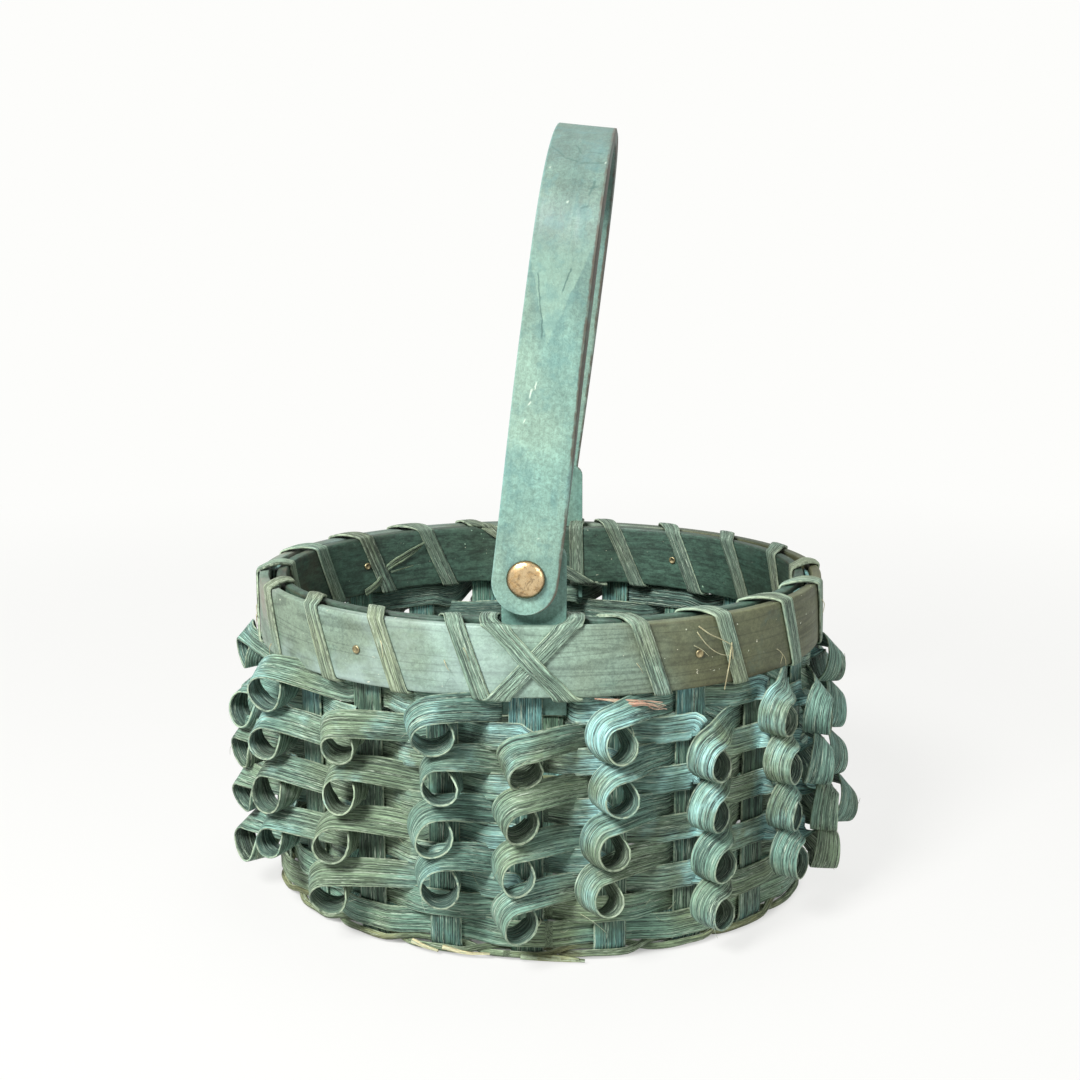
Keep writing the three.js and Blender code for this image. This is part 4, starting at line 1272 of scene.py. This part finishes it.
def build_nails():
    for number, (stake, side) in enumerate(NAILS, 1):
        along = stake * SPACING
        centre, way = on_wall(along, side * BAND_FACE, RIM_MIDDLE), side * wall(along)[2]
        nail = turned(f"nail_{number}", NAIL_PROFILE, "nail_iron", centre, way, sides=24)
        settle(nail, BASKET, "nail_iron", f"rim_nail_{number}")


# Loose fibres and splinters: each strand has its width and places along, out of and up the wall

REED_ENDS = [
    (1.2, (58, 6.4, 121.5), (61.5, 7.6, 118.6), (66, 7.8, 116.0), (70.5, 7.2, 112.6), (71.2, 6.8, 108.0)),
    (1.1, (57.5, 6.3, 119.5), (60.5, 7.2, 115.0), (65, 8.0, 111.2), (70, 7.6, 109.6)),
    (1.3, (70.8, 6.6, 114.0), (69.6, 7.0, 106.0), (68, 7.0, 97.5)),
    (1.0, (56.5, 6.2, 114.8), (59, 7.0, 113.2), (61.6, 7.0, 110.6)),
]
TWINE_TAILS = [
    (1.8, (-2, 1.6, 2.2), (6, 2.6, 2.0), (13, 3.2, 1.6), (20, 4.2, 1.35)),
    (1.3, (4, 1.9, 2.4), (12, 3.0, 2.6), (18, 4.4, 2.2)),
]
CUT_TWINE = [
    (1.2, (-42, 1.5, 3.4), (-37, 2.4, 2.6), (-31.5, 3.2, 2.1)),
    (1.1, (-30, 2.2, 3.4), (-22, 2.5, 2.4), (-13, 2.2, 2.6)),
]


def wisp(paths, points, width=1.0, facing=(0.31, 0.2, 0.93), taper=0.55):
    """A thin strand through the points, tapering to its tip."""
    points = [np.asarray(p, float) for p in points]
    last = len(points) - 1
    keys = []
    for n, point in enumerate(points):
        heading = unit(points[min(n + 1, last)] - points[max(n - 1, 0)])
        keys.append(key(point, np.cross(heading, facing), 0, 0.9, 0.4, width * (1 - taper * n / last)))
    paths.add(keys)


def fixed_wisps(strands):
    paths = Paths()
    for width, *spots in strands:
        wisp(paths, [on_wall(*spot) for spot in spots], width)
    return paths


def build_wisps(name, paths, width, thickness, finish, slot):
    strip(name, paths, (width, thickness), finish, (), 8, (0.03, 1800.0), 12.0, (1.0, 0.8), slot=slot)


def build_hairs():
    """Hairs that lift off the curls and out of the weave."""
    hairs = Paths()
    for hub, axis, rise, left, radius in curls:
        for _ in range(rng.integers(0, 3)):
            angle = rng.uniform(0.2, 5.4)
            spoke = rise * math.cos(angle) + left * math.sin(angle)
            round_way = left * math.cos(angle) - rise * math.sin(angle)
            start = hub + spoke * (radius + 0.2) - axis * rng.uniform(0.3, 4)
            way = unit(round_way * rng.choice([-1, 1]) + spoke * rng.uniform(0.1, 0.6) + axis * 0.2)
            length = rng.uniform(2.5, 6.5)
            sag = -spoke * rng.uniform(0.0, 1.6) - UP * rng.uniform(0, 1)
            root = start - way * 1.2 - spoke * 0.4
            tip = start + way * length + sag
            wisp(hairs, [root, start, start + way * length * 0.5, tip], rng.uniform(0.6, 1.2))
    for stake in range(STAKES):
        for _ in range(3):
            along = (stake + rng.uniform(0.25, 0.75)) * SPACING
            height = TOP_ROW - ROW_PITCH * rng.uniform(0.5, 9.4)
            start = on_wall(along, 1.6, height)
            tip = on_wall(along + rng.normal(0, 5), rng.uniform(3.5, 6.0), height + rng.normal(0, 2.5))
            bow = (start + tip) / 2 + UP * rng.normal(0, 0.8)
            wisp(hairs, [start, bow, tip], rng.uniform(0.6, 1.1))
    build_wisps("loose_hairs", hairs, 0.34, 0.26, "bare_fibre", "curled_splint")


def build_torn_splint():
    """The torn splint under the rim."""
    torn = Paths()
    for n in range(9):
        lift = n * 0.24
        spots = [
            (23 + n * 0.8, 4.6 + 0.12 * n, 98.4 - lift * 0.4),
            (31, 5.6 + 0.1 * n, 98.0 - lift * 0.7),
            (37 + 0.4 * n, 6.0 + 0.12 * n, 97.4 - lift + rng.normal(0, 0.2)),
            (41 + rng.uniform(0, 2), 6.4 + rng.normal(0, 0.5), 96.6 - lift + rng.normal(0, 0.5)),
            (43 + rng.uniform(0, 4.5), 7.0 + rng.normal(0, 1.0), 96.6 - lift * 1.6 + rng.normal(0, 1.0)),
        ]
        wisp(torn, [on_wall(*spot) for spot in spots], rng.uniform(0.8, 1.3))
    build_wisps("torn_splint", torn, 0.75, 0.45, "pink_splinter", "plain_splint")


def build_reed_ends():
    """The frayed ends of the lashing, and its split end on the inside."""
    frayed = fixed_wisps(REED_ENDS)
    for _ in range(16):
        stake = rng.integers(0, STAKES)
        along = stake * SPACING + rng.uniform(3, 12)
        top = rng.uniform(103, 122)
        middle = on_wall(along + 1.2, 7.4, top - rng.uniform(1, 3))
        tip = on_wall(along + rng.uniform(1, 4), 7.0, top - rng.uniform(3, 8))
        wisp(frayed, [on_wall(along, 6.2, top), middle, tip], 0.8)
    build_wisps("frayed_reed_strands", frayed, 0.6, 0.4, "straw_tip", "lashing_reed")

    split_end = Paths()
    face = -BAND_FACE - 0.45
    inward = -wall(-222)[2]
    for n in range(3):
        spots = [
            (-204.5 + 0.2 * n, face - 0.5, 99.2 + 0.9 * n),
            (-210.5, face - 0.9, 102.2 + 1.0 * n),
            (-217.0, face, 108.2 + 1.1 * n),
            (-226.0 + 0.3 * n, face - 0.5 - 0.3 * n, 112.6 + 1.2 * n + rng.normal(0, 0.15)),
            (-233.5 - 0.8 * n, face - 0.9 - 0.6 * n, 117.2 + 1.1 * n + rng.normal(0, 0.3)),
        ]
        wisp(split_end, [on_wall(*spot) for spot in spots], rng.uniform(0.9, 1.1), inward, 0.25)
    branch = ((-218.5, face, 107.2), (-224.0, face - 0.8, 108.2), (-229.5, face - 1.4, 109.2))
    wisp(split_end, [on_wall(*spot) for spot in branch], 0.7, inward)
    build_wisps("split_lashing_end", split_end, 1.3, 0.5, "round_reed", "lashing_reed")


def build_twine_ends():
    tails, cut = fixed_wisps(TWINE_TAILS), fixed_wisps(CUT_TWINE)
    build_wisps("loose_twine_tail", tails, 1.9, 1.5, "round_reed", "round_reed")
    build_wisps("cut_twine_end", cut, 1.9, 1.6, "straw_tip", "round_reed")


# Surroundings

STUDIO_WHITE = "#fdfdfb"
WALL_BEGINS = 1.2
WALL_ROUND = 1.2
LAMP_AIM = Vector((0, 0, 0.1))

# The camera fitted to the photo: turn, height and roll in degrees, focal length in pixels
CAMERA_ANGLES = (3.37, 12.48, -0.29)
CAMERA_TARGET = Vector((0.0004, 0, 0.1344))
CAMERA_DISTANCE = 0.573
FOCAL_LENGTH = 1465
PHOTO_WIDTH = 1080
SENSOR_WIDTH = 36


def seen_straight(t):
    """One where the camera looks at a thing, or at its image in something shiny."""
    rays = (t.out("ShaderNodeLightPath", output=f"Is {way} Ray") for way in ("Camera", "Glossy"))
    return t.math("ADD", *rays, clamp=True)


def build_stage():
    """A floor that runs up into a back wall, both lit evenly where the camera sees them."""
    t = material("pale_floor")
    place = t.position()
    x, y, _ = t.parts(place)
    distance = t.out("ShaderNodeVectorMath", {0: place}, "Value", operation="LENGTH")
    share = seen_straight(t) * distance.ramp(0.3, 0.9, 0.82, 1.0)
    far = abs(x / (WALL_HALF_LENGTH * MM)) ** 2.0 + abs(y / (WALL_HALF_DEPTH * MM)) ** 2.0
    share = share * far.ramp(0.86, 1.08)
    matt = t.out("ShaderNodeBsdfPrincipled", {"Base Color": "#c4c4c2", "Roughness": 0.9})
    glow = t.out("ShaderNodeEmission", {"Color": STUDIO_WHITE, "Strength": 1.0})
    both = t.out("ShaderNodeMixShader", {0: share, 1: matt, 2: glow})
    t.node("ShaderNodeOutputMaterial", {"Surface": both})
    made = bmesh.new()
    depth = [(-3.0, 0.0), (WALL_BEGINS, 0.0)]
    for a in np.radians(np.arange(10, 91, 10)):
        depth.append((WALL_BEGINS + WALL_ROUND * math.sin(a), WALL_ROUND * (1 - math.cos(a))))
    depth.append((WALL_BEGINS + WALL_ROUND, 4.0))
    rows = [[made.verts.new((x, y, z)) for x in (-4, 4)] for y, z in depth]
    for low, high in zip(rows, rows[1:]):
        made.faces.new((low[0], low[1], high[1], high[0]))
    mesh = mesh_from("studio_floor", made)
    mesh.shade_smooth()
    mesh.materials.append(finishes["pale_floor"])
    placed("studio_floor", mesh)

    world = bpy.data.worlds.new("studio")
    world.use_nodes = True
    world.node_tree.nodes.clear()
    t = Tree(world.node_tree)
    strength = seen_straight(t).ramp(0.0, 1.0, 0.12, 1.0)
    back = t.out("ShaderNodeBackground", {"Color": STUDIO_WHITE, "Strength": strength})
    t.node("ShaderNodeOutputWorld", {"Surface": back})
    bpy.context.scene.world = world


def lamp(name, place, size, power):
    light = bpy.data.lights.new(name, "AREA")
    light.shape, light.size, light.energy, light.color = "DISK", size, power, (1, 1, 1)
    thing = placed(name, light)
    thing.location = place
    thing.rotation_euler = (LAMP_AIM - Vector(place)).to_track_quat("-Z", "Y").to_euler()


def build_camera():
    azimuth, elevation, roll = (math.radians(v) for v in CAMERA_ANGLES)
    flat = math.cos(elevation)
    back = Vector((math.sin(azimuth) * flat, -math.cos(azimuth) * flat, math.sin(elevation)))
    data = bpy.data.cameras.new("camera")
    data.sensor_width, data.lens = SENSOR_WIDTH, FOCAL_LENGTH / PHOTO_WIDTH * SENSOR_WIDTH
    camera = placed("camera", data)
    camera.location = CAMERA_TARGET + back * CAMERA_DISTANCE
    level = (-back).cross(Vector((0, 0, 1))).normalized()
    upright = level.cross(-back)
    side = level * math.cos(roll) + upright * math.sin(roll)
    top = upright * math.cos(roll) - level * math.sin(roll)
    camera.rotation_euler = Matrix((side, top, back)).transposed().to_euler()
    data.clip_start, data.clip_end = 0.01, 50
    bpy.context.scene.camera = camera


build_camera()
build_stage()
lamp("key", (-0.55, -0.85, 1.05), 0.45, 36)
lamp("fill", (1.2, -0.9, 0.6), 1.0, 7)
lamp("top", (0.1, 0.4, 1.5), 0.8, 7)
build_stakes()
build_weavers()
build_twine()
build_bands()
build_lashing()
build_ears()
build_handle()
build_rivets()
build_nails()
build_hairs()
build_torn_splint()
build_reed_ends()
build_twine_ends()

bpy.context.scene.view_settings.view_transform = "Standard"
